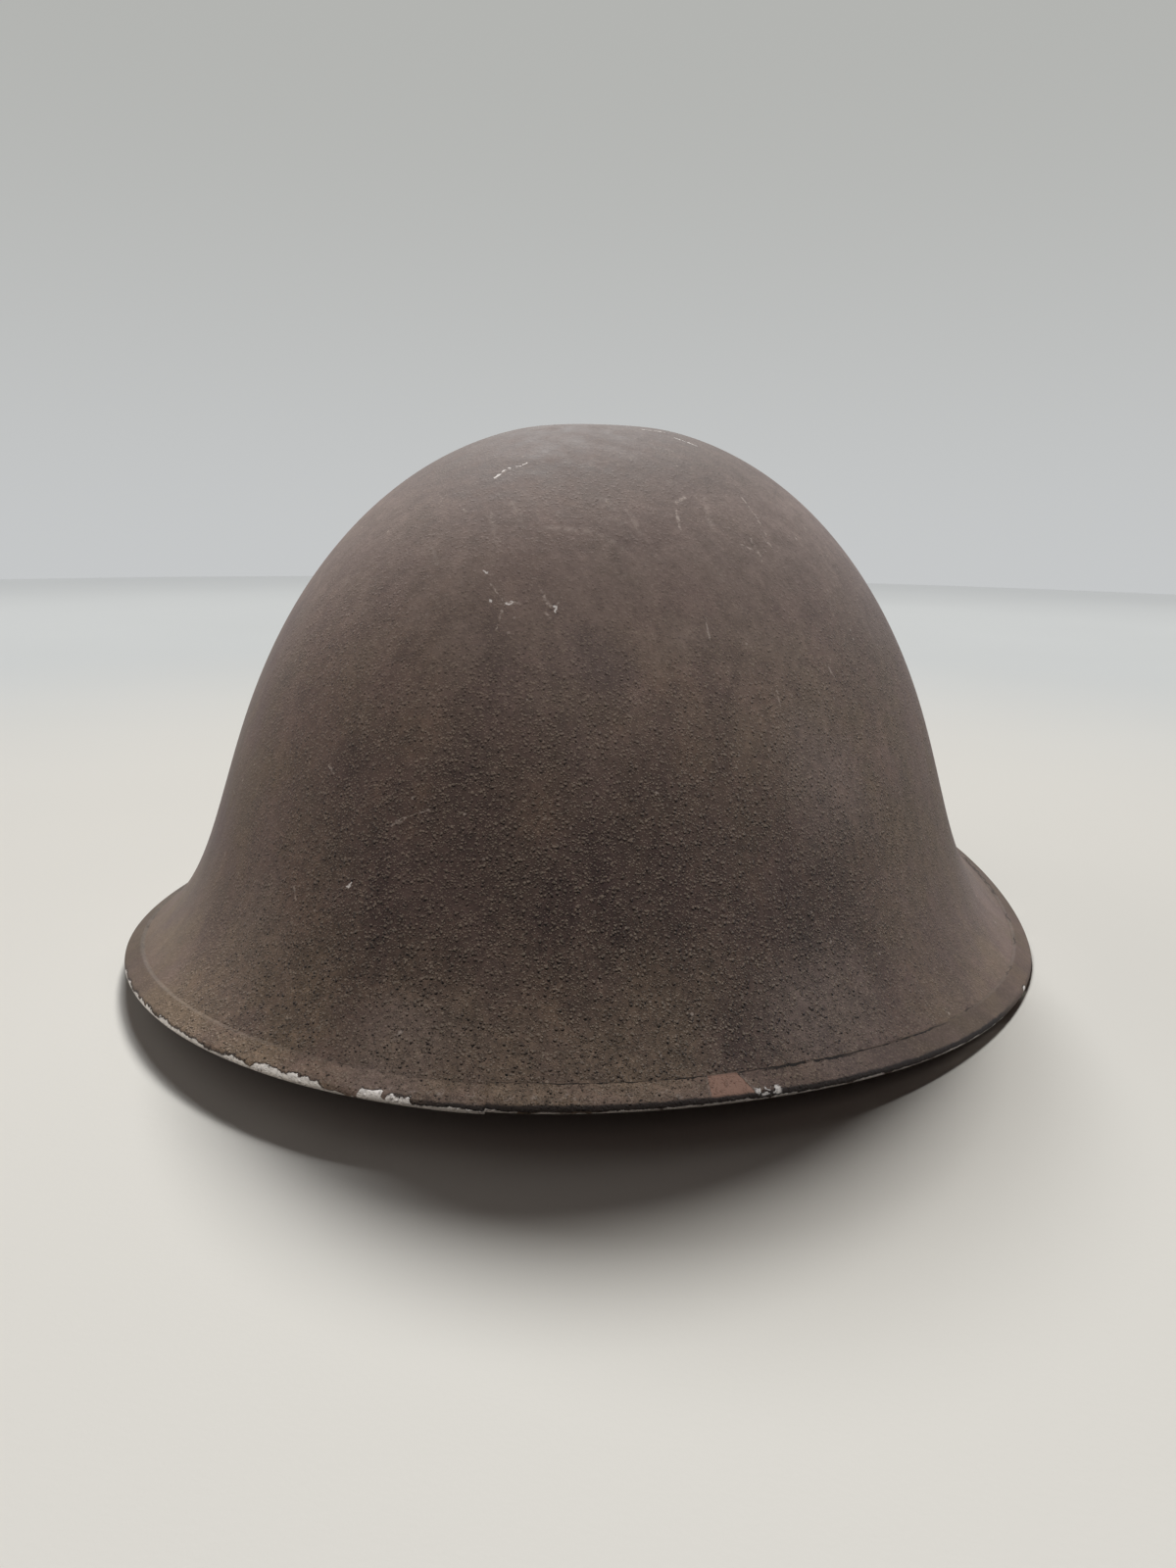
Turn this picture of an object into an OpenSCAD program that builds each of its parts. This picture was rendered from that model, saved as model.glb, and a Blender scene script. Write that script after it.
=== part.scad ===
// Pressed steel helmet of the turtle pattern, with its folded rim strip, a liner that
// snaps out downwards and a webbing chinstrap that swings on two lugs.
// +Z is up, the front is at -Y and the wearer's left is at +X. The origin lies on the
// ground under the middle of the brim. All sizes are in millimetres.

/* [Shell] */
// Width of the steel over the edges of its brim
brim_w = 265; // [262:1:276]
// Length of the steel over the edges of its brim
brim_l = 303; // [299:1:316]
// Height of the crown above the ground
crown_h = 148; // [144:0.5:156]
// Thickness of the pressed steel
shell_t = 1; // [0.8:0.1:1.6]
// How far the brim flares out at the sides
side_flare = 24; // [20:0.5:25]
// How far the brim flares out at the front and the rear
end_flare = 23; // [19:0.5:25]
// Height over which the flare fades into the bowl
flare_fade = 17; // [14:0.5:20]
// Rise of the brim at the front over its lowest points
front_rise = 10; // [6:0.5:14]
// Rise of the brim at the rear over its lowest points
rear_rise = 20.5; // [15:0.5:23]
// How far ahead of the middle the brim is lowest
low_point = 5; // [0:0.5:10]
// Depth by which the top of the crown is pressed flat
crown_flat = 1.1; // [0.6:0.1:2]
// Squareness of the bowl seen from above, where 2 is an ellipse
plan_power = 1.87; // [1.84:0.01:2]
// Fullness of the bowl's shoulder
shoulder_power = 2.14; // [2.1:0.01:2.25]
// Steepness of the bowl's sides
side_power = 2.07; // [2:0.01:2.2]
// Steepness of the bowl's front and rear
end_power = 1.9; // [1.85:0.01:2.1]

/* [Rim strip] */
// Width of each leg of the folded strip
rim_leg = 5.8; // [4:0.1:8]
// Thickness of the strip
rim_t = 0.8; // [0.6:0.1:1]
// Gap between the strip and the steel that it wraps
rim_clear = 0.05; // [0.02:0.01:0.1]
// Depth of the flats worn where the rim rests on the ground
rest_flat = 0.45; // [0.4:0.05:0.5]
// Place of the strip's butt joint, in facets of the brim to the left of the front
rim_joint_at = 2; // [0:1:6]
// Gap left in the butt joint
rim_joint_gap = 0.7; // [0.4:0.1:1.5]

/* [Crown fastener] */
// Diameter of the rivet head on the crown
crown_head_d = 12; // [9:0.5:16]
// Height of the rivet head, almost flush with the crown
crown_head_h = 0.4; // [0.3:0.1:1]
// Diameter of the rivet's shank
crown_shank_d = 4; // [3:0.1:5]
// Diameter of the washer and the stud's flange inside the crown
stud_flange_d = 17; // [13:0.5:22]
// Thickness of the washer, and of the stud's flange
stud_flange_t = 1; // [0.8:0.1:1.5]
// Diameter of the snap stud
stud_d = 6.4; // [6:0.1:7.5]
// Length of the snap stud below its flange
stud_l = 12; // [10:0.5:13]

/* [Lugs] */
// Height of the chinstrap's pivots above the ground
pivot_z = 17; // [16:0.5:19]
// How far behind the middle the pivots lie
pivot_y = 4; // [0:0.5:8]
// Distance from the bowl's wall to the lug's ear
lug_standoff = 14; // [12:0.5:15]
// Thickness of the lug's plate
lug_t = 1.6; // [1.2:0.1:2]
// Width of the ear and the shelf
lug_ear_w = 12; // [10:0.5:14]
// Width of the lug's foot on the shell
lug_foot_w = 22; // [16:1:28]
// Height of the lug's foot
lug_foot_h = 17; // [12:1:22]
// Height of the shelf above the pivot
lug_shelf_rise = 6.6; // [6.5:0.1:8]

/* [Chinstrap] */
// Diameter of the hooks' wire
wire_d = 3; // [2.4:0.1:3.4]
// Clearance of the wire in the lug's hole, and between the hook and the ear
hook_clear = 0.3; // [0.2:0.05:0.5]
// Length of the hook from the pivot to the loop's first bar
hook_arm = 9; // [8.5:0.5:11]
// Length of the loop that holds the webbing
loop_l = 11; // [9:0.5:13]
// Width of the webbing
web_w = 19; // [16:0.5:20]
// Thickness of the webbing
web_t = 2; // [1.6:0.1:2.2]
// Length of the sewn fold behind each loop
fold_l = 14; // [10:1:16]
// Length of the straight run behind each loop
run_l = 47; // [45:1:48]
// Angle by which the straight runs close in, in degrees
run_lean = 14; // [12:0.5:18]
// Length of the slider along the webbing
slider_l = 12; // [10:0.5:14]
// Wall of the slider
slider_t = 1.2; // [0.9:0.1:1.6]
// Distance from the loop's last bar to the middle of the slider
slider_at = 33; // [31:0.5:33]
// Lowest height of the webbing when it lies stowed
stow_gap = 0.3; // [0.2:0.1:0.6]

/* [Liner] */
// Room between the bowl's foot and the head at the sides
side_room = 30.5; // [29:0.5:33]
// Room between the bowl's foot and the head at the front and the rear
end_room = 28.5; // [27:0.5:32]
// Thickness of the sweatband at its fullest
sweat_t = 2.4; // [1.8:0.1:3]
// Thickness of the sweatband's fold under and outside the fibre band
sweat_fold_t = 1.2; // [0.8:0.1:1.6]
// Height of the fold outside the fibre band
sweat_fold_h = 7.5; // [5:0.5:8]
// Thickness of the fibre band
band_t = 1.5; // [1.2:0.1:2]
// Height of the fibre band's lower edge above the ground
band_z = 33; // [32:0.5:36]
// Height of the fibre band
band_h = 29; // [26:0.5:31]
// Space between the sweatband and the fibre band, for the rivets' backs
band_space = 0.9; // [0.8:0.1:1.3]
// Width of the cradle's straps
strap_w = 32; // [26:1:38]
// Thickness of the cradle's straps
strap_t = 1.5; // [1.2:0.1:2]
// Length of the strap ends riveted to the fibre band
tab_l = 19; // [15:0.5:21]
// Space between the crown and the crossing of the straps
crown_gap = 12; // [10.5:0.5:14]
// Diameter of the snap socket's body
socket_d = 18; // [15:0.5:22]
// Height of the snap socket over the straps
socket_h = 6; // [4:0.5:7]
// Clearance of the stud in the socket
socket_clear = 0.3; // [0.2:0.05:0.5]
// Diameter of the rivets' heads
rivet_head_d = 6.4; // [5:0.2:8]
// Diameter of the rivets' shanks
rivet_d = 3; // [2:0.1:3.6]
// Angle of the buffers from the side of the head, in degrees
buffer_at = 50; // [44:1:54]
// Height of the rubber buffers
buffer_h = 20; // [16:0.5:20.5]
// Length of the buffers along the band
buffer_l = 32; // [26:1:40]
// Wall of the buffers round their hollow
buffer_wall = 3; // [2.4:0.1:3.4]
// Gap between the buffers and the shell
buffer_gap = 0.8; // [0.5:0.1:1.5]
// Thickness of the crown pad at its fullest
pad_t = 8; // [5:0.5:10]
// Mean radius of the crown pad
pad_r = 42; // [36:1:48]
// How far the arms of the pad stand out beyond its mean radius
pad_arm = 11; // [6:1:13]

/* [Hidden] */

around = 64;
rings = 20;
ring_ease = 1.35;
leg_rows = 3;
touch = 0.1;
seat = 0.15;
cut = 1;
smooth = 48;
step = 0.001;
blend_ends = 30;

bowl_a = brim_w/2 - side_flare;
bowl_b = brim_l/2 - end_flare;
low_share = low_point/(brim_l/2);
crown_blend = crown_flat/2 + 0.05;
rim_fold_r = shell_t/2 + rim_clear + rim_t;
edge_z = rim_fold_r + shell_t/2 - rest_flat;

paint = [0.33, 0.29, 0.26];
steel = [0.45, 0.45, 0.44];
brass = [0.62, 0.52, 0.30];
oilcloth = [0.10, 0.10, 0.10];
fibre = [0.30, 0.20, 0.13];
rubber = [0.16, 0.15, 0.14];
webbing = [0.45, 0.42, 0.28];

// The bowl is a surface over the angle t round it and the share w of its height.
// The brim's edge dips at the sides and rises to the front and to the rear.
function brim_rise(t) =
    let (q = sin(t) + low_share)
    q < 0 ? front_rise*pow(q/(1 - low_share), 2) : rear_rise*pow(q/(1 + low_share), 2);

function plan_r(t) = pow(
    pow(abs(cos(t))/bowl_a, plan_power) + pow(abs(sin(t))/bowl_b, plan_power),
    -1/plan_power
);

function flare(t) = side_flare*pow(cos(t), 2) + end_flare*pow(sin(t), 2);

function steepness(t) = side_power*pow(cos(t), 2) + end_power*pow(sin(t), 2);

function bowl_r(t, w) =
    plan_r(t)*pow(max(0, 1 - pow(w, steepness(t))), 1/shoulder_power)
    + flare(t)*exp(-w*crown_h/flare_fade)*(1 - w);

// The crown's last rise is blended into a flat.
function press_flat(z) =
    z < crown_h - blend_ends*crown_blend ? z
    : crown_h - crown_blend*ln(1 + exp((crown_h - z)/crown_blend));

function bowl_z(t, w) =
    let (foot = edge_z + brim_rise(t))
    press_flat(foot + (crown_h + crown_flat - foot)*w);

function bowl(t, w) =
    let (r = bowl_r(t, w))
    [r*cos(t), r*sin(t), bowl_z(t, w)];

function unit(v) = v/norm(v);

// Outward normal of the bowl.
function bowl_n(t, w) =
    w >= 1 ? [0, 0, 1]
    : let (low = max(0, w - step), high = min(1, w + step))
      unit(cross(
          bowl(t + step*90, w) - bowl(t - step*90, w),
          bowl(t, high) - bowl(t, low)
      ));

function bowl_off(t, w, off) = bowl(t, w) + off*bowl_n(t, w);

// Share of the height at which the bowl passes a height z, and its inner radius there.
function share_at(t, z) =
    let (foot = edge_z + brim_rise(t))
    max(0, (z - foot)/(crown_h + crown_flat - foot));

function wall_r(t, z) =
    let (w = share_at(t, z), p = bowl_off(t, w, -shell_t))
    norm([p.x, p.y]);

crown_z = press_flat(crown_h + crown_flat);
roof_z = crown_z - shell_t;

function flat_list(rows) = [for (row = rows) for (p = row) p];

// A solid between two grids of points. Rows run along it, columns run across it.
module sheet_solid(top, bottom, wrap = false) {
    rows = len(top);
    cols = len(top[0]);
    n = rows*cols;
    last = wrap ? cols - 1 : cols - 2;
    function id(r, c) = r*cols + c%cols;
    faces = concat(
        [for (r = [0:rows - 2]) for (c = [0:last])
            for (f = [[id(r, c), id(r + 1, c), id(r + 1, c + 1)],
                      [id(r, c), id(r + 1, c + 1), id(r, c + 1)]]) f],
        [for (r = [0:rows - 2]) for (c = [0:last])
            for (f = [[n + id(r, c), n + id(r + 1, c + 1), n + id(r + 1, c)],
                      [n + id(r, c), n + id(r, c + 1), n + id(r + 1, c + 1)]]) f],
        [for (c = [0:last])
            for (f = [[id(0, c), id(0, c + 1), n + id(0, c + 1)],
                      [id(0, c), n + id(0, c + 1), n + id(0, c)]]) f],
        [for (c = [0:last])
            for (f = [[id(rows - 1, c), n + id(rows - 1, c), n + id(rows - 1, c + 1)],
                      [id(rows - 1, c), n + id(rows - 1, c + 1), id(rows - 1, c + 1)]]) f],
        wrap ? [] : [for (r = [0:rows - 2])
            for (f = [[id(r, 0), n + id(r, 0), n + id(r + 1, 0)],
                      [id(r, 0), n + id(r + 1, 0), id(r + 1, 0)]]) f],
        wrap ? [] : [for (r = [0:rows - 2])
            for (f = [[id(r, cols - 1), id(r + 1, cols - 1), n + id(r + 1, cols - 1)],
                      [id(r, cols - 1), n + id(r + 1, cols - 1), n + id(r, cols - 1)]]) f]
    );
    polyhedron(concat(flat_list(top), flat_list(bottom)), faces, convexity = 8);
}

// A solid between two domes of rings, each closed by a point at its top.
module dome_solid(outer, outer_top, inner, inner_top) {
    rows = len(outer);
    cols = len(outer[0]);
    n = rows*cols;
    function id(r, c) = r*cols + c%cols;
    faces = concat(
        [for (r = [0:rows - 2]) for (c = [0:cols - 1])
            for (f = [[id(r, c), id(r + 1, c), id(r + 1, c + 1)],
                      [id(r, c), id(r + 1, c + 1), id(r, c + 1)]]) f],
        [for (r = [0:rows - 2]) for (c = [0:cols - 1])
            for (f = [[n + id(r, c), n + id(r + 1, c + 1), n + id(r + 1, c)],
                      [n + id(r, c), n + id(r, c + 1), n + id(r + 1, c + 1)]]) f],
        [for (c = [0:cols - 1])
            for (f = [[id(0, c), id(0, c + 1), n + id(0, c + 1)],
                      [id(0, c), n + id(0, c + 1), n + id(0, c)]]) f],
        [for (c = [0:cols - 1])
            for (f = [[id(rows - 1, c), 2*n, id(rows - 1, c + 1)],
                      [n + id(rows - 1, c), n + id(rows - 1, c + 1), 2*n + 1]]) f]
    );
    polyhedron(
        concat(flat_list(outer), flat_list(inner), [outer_top], [inner_top]),
        faces,
        convexity = 8
    );
}

// The rows under the rim strip's legs, and the rows from there to the crown.
leg_share = rim_leg*step/norm(bowl(0, step) - bowl(0, 0));
leg_shares = [for (i = [0:leg_rows]) leg_share*i/leg_rows];
bowl_shares = [for (i = [1:rings - leg_rows])
    let (rise = 1 - pow(1 - pow(i/(rings - leg_rows + 1), ring_ease), 2))
    leg_share + (1 - leg_share)*rise];

// Shell: one pressing with a domed crown and a flared brim.
module shell() {
    shares = concat(leg_shares, bowl_shares);
    angles = [for (i = [0:around - 1]) 360*i/around];
    outer = [for (w = shares) [for (t = angles) bowl(t, w)]];
    inner = [for (w = shares) [for (t = angles) bowl_off(t, w, -shell_t)]];
    color(paint)
    difference() {
        dome_solid(outer, [0, 0, crown_z], inner, [0, 0, roof_z]);
        translate([0, 0, roof_z - cut])
            cylinder(d = crown_shank_d + 2*seat, h = shell_t + 2*cut, $fn = smooth);
    }
}

// Rim strip: folded over the edge of the steel, with flats where it rests.
function on_ground(p) = [p.x, p.y, max(0, p.z)];

function rim_section(t, off) =
    let (
        out = bowl_n(t, 0),
        down = unit(bowl(t, 0) - bowl(t, step)),
        edge = bowl(t, 0) - shell_t/2*out,
        r = shell_t/2 + off
    )
    concat(
        [for (i = [leg_rows:-1:1]) bowl_off(t, leg_shares[i], -shell_t - off)],
        [for (a = [-90:45:90]) edge + r*(cos(a)*down + sin(a)*out)],
        [for (i = [1:leg_rows]) bowl_off(t, leg_shares[i], off)]
    );

function turned(grid) = [for (r = [0:len(grid[0]) - 1]) [for (col = grid) col[r]]];

module rim_band() {
    half_gap = rim_joint_gap/2/(brim_l/2)*180/PI;
    joint = rim_joint_at*360/around - 90;
    angles = concat(
        [joint + half_gap],
        [for (i = [1:around - 1]) joint + i*360/around],
        [joint + 360 - half_gap]
    );
    top = turned([for (t = angles)
        [for (p = rim_section(t, rim_clear + rim_t)) on_ground(p)]]);
    bottom = turned([for (t = angles) rim_section(t, rim_clear)]);
    color(paint)
        sheet_solid(top, bottom);
}

// Crown fastener: a flat-headed rivet, a washer and the snap stud that it holds.
module crown_rivet() {
    shank_l = shell_t + 2*stud_flange_t + 2*touch + stud_l/4;
    color(paint)
    translate([0, 0, crown_z]) {
        rotate_extrude($fn = smooth)
            polygon([
                [0, 0], [crown_head_d/2, 0], [crown_head_d/2, crown_head_h/3],
                [crown_head_d/2 - crown_head_h, crown_head_h], [0, crown_head_h]
            ]);
        translate([0, 0, -shank_l])
            cylinder(d = crown_shank_d, h = shank_l + crown_head_h/2, $fn = smooth);
    }
}

washer_z = roof_z - 2*touch - stud_flange_t;
flange_z = washer_z - stud_flange_t;

module crown_washer() {
    color(steel)
    translate([0, 0, washer_z])
    difference() {
        cylinder(d = stud_flange_d, h = stud_flange_t, $fn = smooth);
        translate([0, 0, -cut])
            cylinder(d = crown_shank_d + 2*seat, h = stud_flange_t + 2*cut, $fn = smooth);
    }
}

module liner_stud() {
    r = stud_d/2;
    neck = 0.8*r;
    socket_in = crown_shank_d/2 + seat;
    color(brass)
    translate([0, 0, flange_z])
    difference() {
        rotate_extrude($fn = smooth)
            polygon([
                [0, stud_flange_t], [stud_flange_d/2 - 1, stud_flange_t],
                [stud_flange_d/2 - 1, 0], [r + 1, 0], [r, -1], [r, -0.5*stud_l],
                [neck, -0.6*stud_l], [neck, -0.7*stud_l], [r, -0.8*stud_l],
                [r, -0.9*stud_l], [0.6*r, -stud_l], [0, -stud_l]
            ]);
        translate([0, 0, -stud_l/4 - 2*touch])
            cylinder(r = socket_in, h = stud_l/4 + 2*touch + stud_flange_t + cut, $fn = smooth);
    }
}

// Lugs: a foot welded to the wall, a shelf and an ear with the hook's hole.
shelf_z = pivot_z + lug_shelf_rise;
ear_x = wall_r(0, shelf_z) - lug_standoff;
hook_x = ear_x - lug_t/2 - hook_clear - wire_d/2;
hook_hole_d = wire_d + 2*hook_clear;

module lug() {
    foot_t = lug_foot_w/2/wall_r(0, shelf_z)*180/PI;
    foot_at = asin(pivot_y/wall_r(0, shelf_z));
    angles = [for (i = [-2:2]) foot_at + i*foot_t/2];
    heights = [for (i = [0:4]) shelf_z + lug_foot_h*i/4];
    top = [for (z = heights) [for (t = angles)
        bowl_off(t, share_at(t, z), -shell_t - seat)]];
    bottom = [for (z = heights) [for (t = angles)
        bowl_off(t, share_at(t, z), -shell_t - seat - lug_t)]];
    shelf_end = wall_r(0, shelf_z + lug_t) - seat - lug_t/2;
    color(paint)
    union() {
        sheet_solid(top, bottom);
        translate([ear_x - lug_t/2, pivot_y - lug_ear_w/2, shelf_z])
            cube([shelf_end - ear_x + lug_t/2, lug_ear_w, lug_t]);
        difference() {
            union() {
                translate([ear_x - lug_t/2, pivot_y - lug_ear_w/2, pivot_z])
                    cube([lug_t, lug_ear_w, shelf_z + lug_t - pivot_z]);
                translate([ear_x - lug_t/2, pivot_y, pivot_z])
                rotate([0, 90, 0])
                    cylinder(d = lug_ear_w, h = lug_t, $fn = smooth);
            }
            translate([ear_x - lug_t/2 - cut, pivot_y, pivot_z])
            rotate([0, 90, 0])
                cylinder(d = hook_hole_d, h = lug_t + 2*cut, $fn = smooth);
        }
    }
}

module lug_left() {
    lug();
}

module lug_right() {
    mirror([1, 0, 0])
        lug();
}

// Chinstrap: drawn flat with its pivots on the X axis, then laid in the shell.
bar_y = hook_arm + loop_l;
loop_h = web_w + 2*hook_clear + wire_d;
run_dir = [-sin(run_lean), cos(run_lean)];
run_out = [cos(run_lean), sin(run_lean)];
run_start = [hook_x, bar_y] - web_t/2*run_out;
run_end = run_start + run_l*run_dir;
back_r = run_end.x/cos(run_lean);
back_y = run_end.y - back_r*sin(run_lean);
reach = back_y + back_r + web_t/2;
stow_hyp = norm([reach, web_w/2]);
stow_angle = asin((pivot_z - stow_gap)/stow_hyp) - atan2(web_w/2, reach);

module stowed() {
    translate([0, pivot_y, pivot_z])
    rotate([-stow_angle, 0, 0])
        children();
}

module rod(from, to) {
    d = to - from;
    translate(from)
    rotate([0, acos(d.z/norm(d)), atan2(d.y, d.x)])
        cylinder(d = wire_d, h = norm(d), $fn = smooth);
}

// Hook: one bent wire with an open hook through the ear and a loop for the webbing.
module hook() {
    tip_x = ear_x + lug_t/2 + hook_clear + wire_d/2;
    loop = [
        [hook_x, hook_arm, -loop_h/2], [hook_x, hook_arm, loop_h/2],
        [hook_x, bar_y, loop_h/2], [hook_x, bar_y, -loop_h/2]
    ];
    wire = [
        [tip_x, hook_arm - 1, 0], [tip_x, 0, 0], [hook_x, 0, 0], [hook_x, hook_arm, 0]
    ];
    color(steel)
    stowed()
    union() {
        for (i = [0:3]) {
            rod(loop[i], loop[(i + 1)%4]);
            translate(loop[i])
                sphere(d = wire_d, $fn = smooth);
        }
        for (i = [0:2]) {
            rod(wire[i], wire[i + 1]);
            translate(wire[i])
                sphere(d = wire_d, $fn = smooth);
        }
    }
}

module hook_left() {
    hook();
}

module hook_right() {
    mirror([1, 0, 0])
        hook();
}

function back_arc(r) = [for (i = [0:32])
    let (a = run_lean + i*(180 - 2*run_lean)/32)
    [r*cos(a), back_y + r*sin(a)]];

// Outline of the webbing from above, doubled at both ends where it is sewn back on itself.
module web_run() {
    half = web_t/2;
    fold = [for (s = [[web_t, 0], [web_t, fold_l], [0, fold_l]])
        [hook_x, bar_y] + s[0]*run_out + s[1]*run_dir];
    start = [hook_x, bar_y] - web_t*run_out;
    polygon(concat(
        fold,
        back_arc(back_r + half),
        [for (i = [2:-1:0]) [-fold[i].x, fold[i].y]],
        [[-start.x, start.y]],
        [for (i = [32:-1:0]) back_arc(back_r - half)[i]],
        [start]
    ));
}

module chinstrap() {
    eye = wire_d/2 + seat;
    color(webbing)
    stowed()
    translate([0, 0, -web_w/2])
    linear_extrude(web_w)
    difference() {
        union() {
            web_run();
            for (side = [-1, 1])
                translate([side*hook_x, bar_y])
                    circle(r = eye + web_t, $fn = smooth);
        }
        for (side = [-1, 1])
            translate([side*hook_x, bar_y])
                circle(r = eye, $fn = smooth);
    }
}

// Slider: a three-bar frame that the webbing runs through.
module strap_slider() {
    slot_t = web_t + 2*hook_clear;
    slot_w = web_w + 2*hook_clear;
    body = [slot_t + 2*slider_t, slider_l, slot_w + 2*slider_t];
    window = [slider_t + 2*cut, slider_l/3, web_w - slider_t];
    middle = run_start + slider_at*run_dir;
    color(brass)
    stowed()
    translate([middle.x, middle.y, 0])
    rotate(run_lean)
    difference() {
        cube(body, center = true);
        cube([slot_t, slider_l + 2*cut, slot_w], center = true);
        for (side = [-1, 1])
            translate([slot_t/2 + slider_t/2, side*slider_l/4, 0])
                cube(window, center = true);
    }
}

// Liner: an oval fibre band, hung from two straps that cross under the crown.
head = [bowl_a - side_room, bowl_b - end_room];
band_in = head + (sweat_t + band_space)*[1, 1];
band_out = band_in + [band_t, band_t];
band_top = band_z + band_h;
strap_top = roof_z - crown_gap;
cross_rise = strap_top - strap_t - band_top;
long_rise = cross_rise - strap_t - 2*seat;
cradle_power = 2.1;

function oval(size) = [for (i = [0:around - 1])
    let (a = 360*i/around)
    [size.x*cos(a), size.y*sin(a)]];

function cradle_z(x, y, size, rise) =
    let (q = norm([x/size.x, y/size.y]))
    band_top + rise*pow(max(0, 1 - pow(q, cradle_power)), 1/cradle_power);

// One face of a strap that runs along Y over the cradle, with its two ends on the band.
function strap_face(size, rise) =
    let (
        xs = [for (i = [-3:3]) strap_w/2*i/3],
        turns = [for (i = [-12:12]) 90*i/12],
        ends = [for (side = [-1, 1]) [for (x = xs)
            [x, side*size.y*sqrt(1 - pow(x/size.x, 2)), band_top - tab_l]]],
        arch = [for (a = turns) [for (x = xs)
            let (y = size.y*sin(a)*sqrt(1 - pow(x/size.x, 2)))
            [x, y, cradle_z(x, y, size, rise)]]]
    )
    concat([ends[0]], arch, [ends[1]]);

module cradle_strap(size, rise) {
    near = size + [touch, touch];
    far = near + [strap_t, strap_t];
    sheet_solid(strap_face(far, rise + strap_t), strap_face(near, rise));
}

// Places a thing on the fibre band with +X pointing out of it.
module on_band(turn, z) {
    p = [band_out.x*cos(turn), band_out.y*sin(turn)];
    n = [cos(turn)/band_out.x, sin(turn)/band_out.y];
    translate([p.x, p.y, z])
    rotate(atan2(n.y, n.x))
        children();
}

// Turns of the band at which the strap ends have their rivets.
rivet_z = band_top - tab_l/2;
end_turn = acos(strap_w/4/band_out.x);
side_turn = asin(strap_w/4/band_out.y);
strap_turns = [
    end_turn, 180 - end_turn, 180 + end_turn, 360 - end_turn,
    side_turn, 180 - side_turn, 180 + side_turn, 360 - side_turn
];

module rivet_holes() {
    for (turn = strap_turns)
        on_band(turn, rivet_z)
        rotate([0, 90, 0])
        translate([0, 0, -band_t - band_space])
            cylinder(d = rivet_d + 2*seat, h = band_t + band_space + 2*strap_t + cut, $fn = 24);
}

module long_strap() {
    color(oilcloth)
    difference() {
        cradle_strap(band_out, long_rise);
        rivet_holes();
        crossing_hole();
    }
}

module cross_strap() {
    color(oilcloth)
    difference() {
        rotate(90)
            cradle_strap([band_out.y, band_out.x], cross_rise);
        rivet_holes();
        crossing_hole();
    }
}

barrel_d = stud_d + 2*socket_clear + 2.4;

module crossing_hole() {
    translate([0, 0, band_top])
        cylinder(d = barrel_d + 2*seat, h = crown_z - band_top, $fn = smooth);
}

module liner_band() {
    color(fibre)
    difference() {
        translate([0, 0, band_z])
        linear_extrude(band_h)
        difference() {
            polygon(oval(band_out));
            polygon(oval(band_in));
        }
        rivet_holes();
        for (turn = buffer_turns)
            on_band(turn, buffer_z + buffer_h/2)
            rotate([0, 90, 0])
            translate([0, 0, -band_t - cut])
                cylinder(d = rivet_d + 2*seat, h = band_t + 2*cut, $fn = 24);
    }
}

// A rivet along +X: a low domed head at grip and a flat back behind the band.
module rivet(grip) {
    back_t = band_space - 2*seat;
    back_r = rivet_d/2 + 0.8;
    head_h = rivet_head_d/5;
    rotate([0, 90, 0])
    rotate_extrude($fn = 24)
        polygon(concat(
            [[0, -band_t - seat - back_t], [back_r, -band_t - seat - back_t],
             [back_r, -band_t - seat], [rivet_d/2, -band_t - seat], [rivet_d/2, grip]],
            [for (a = [0:22.5:90]) [rivet_head_d/2*cos(a), grip + head_h*sin(a)]]
        ));
}

module strap_rivets() {
    color(brass)
    for (turn = strap_turns)
        on_band(turn, rivet_z)
            rivet(strap_t + 2*touch);
}

// Buffers: hollow rubber blocks that keep the band off the wall, each with one rivet.
buffer_z = band_z + sweat_fold_h + seat;
buffer_turns = [buffer_at, 180 - buffer_at, 180 + buffer_at, 360 - buffer_at];

function band_point(turn, off) =
    let (n = unit([cos(turn)/band_out.x, sin(turn)/band_out.y]))
    [band_out.x*cos(turn), band_out.y*sin(turn)] + off*n;

function room_at(turn) =
    let (p = band_point(turn, 0))
    wall_r(atan2(p.y, p.x), buffer_z + buffer_h) - norm(p) - buffer_gap;

// Half of a buffer's length, less a wall, as a turn of the band.
function buffer_reach(turn, wall) =
    (buffer_l/2 - wall)/norm([band_out.x*sin(turn), band_out.y*cos(turn)])*180/PI;

function buffer_depth(turn) =
    min([for (side = [-1, 0, 1]) room_at(turn + side*buffer_reach(turn, 0))]) - touch;

// Outline of a block on the band, drawn in by wall on every side.
function block(turn, wall) =
    let (
        half = buffer_depth(turn)/2 - wall,
        middle = touch + buffer_depth(turn)/2,
        reach = buffer_reach(turn, wall),
        share = [for (i = [-90:11.25:90]) sin(i)],
        bulge = [for (s = share) half*pow(max(0, 1 - pow(s, 6)), 1/2)]
    )
    concat(
        [for (i = [0:16]) band_point(turn + reach*share[i], middle - bulge[i])],
        [for (i = [15:-1:1]) band_point(turn + reach*share[i], middle + bulge[i])]
    );

module buffer(turn) {
    color(rubber)
    difference() {
        translate([0, 0, buffer_z])
        linear_extrude(buffer_h)
        difference() {
            polygon(block(turn, 0));
            polygon(block(turn, buffer_wall));
        }
        on_band(turn, buffer_z + buffer_h/2)
        rotate([0, 90, 0])
            cylinder(d = rivet_d + 2*seat, h = buffer_wall + cut, $fn = 24);
    }
}

module buffer_rear_left() {
    buffer(buffer_turns[0]);
}

module buffer_rear_right() {
    buffer(buffer_turns[1]);
}

module buffer_front_right() {
    buffer(buffer_turns[2]);
}

module buffer_front_left() {
    buffer(buffer_turns[3]);
}

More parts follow.
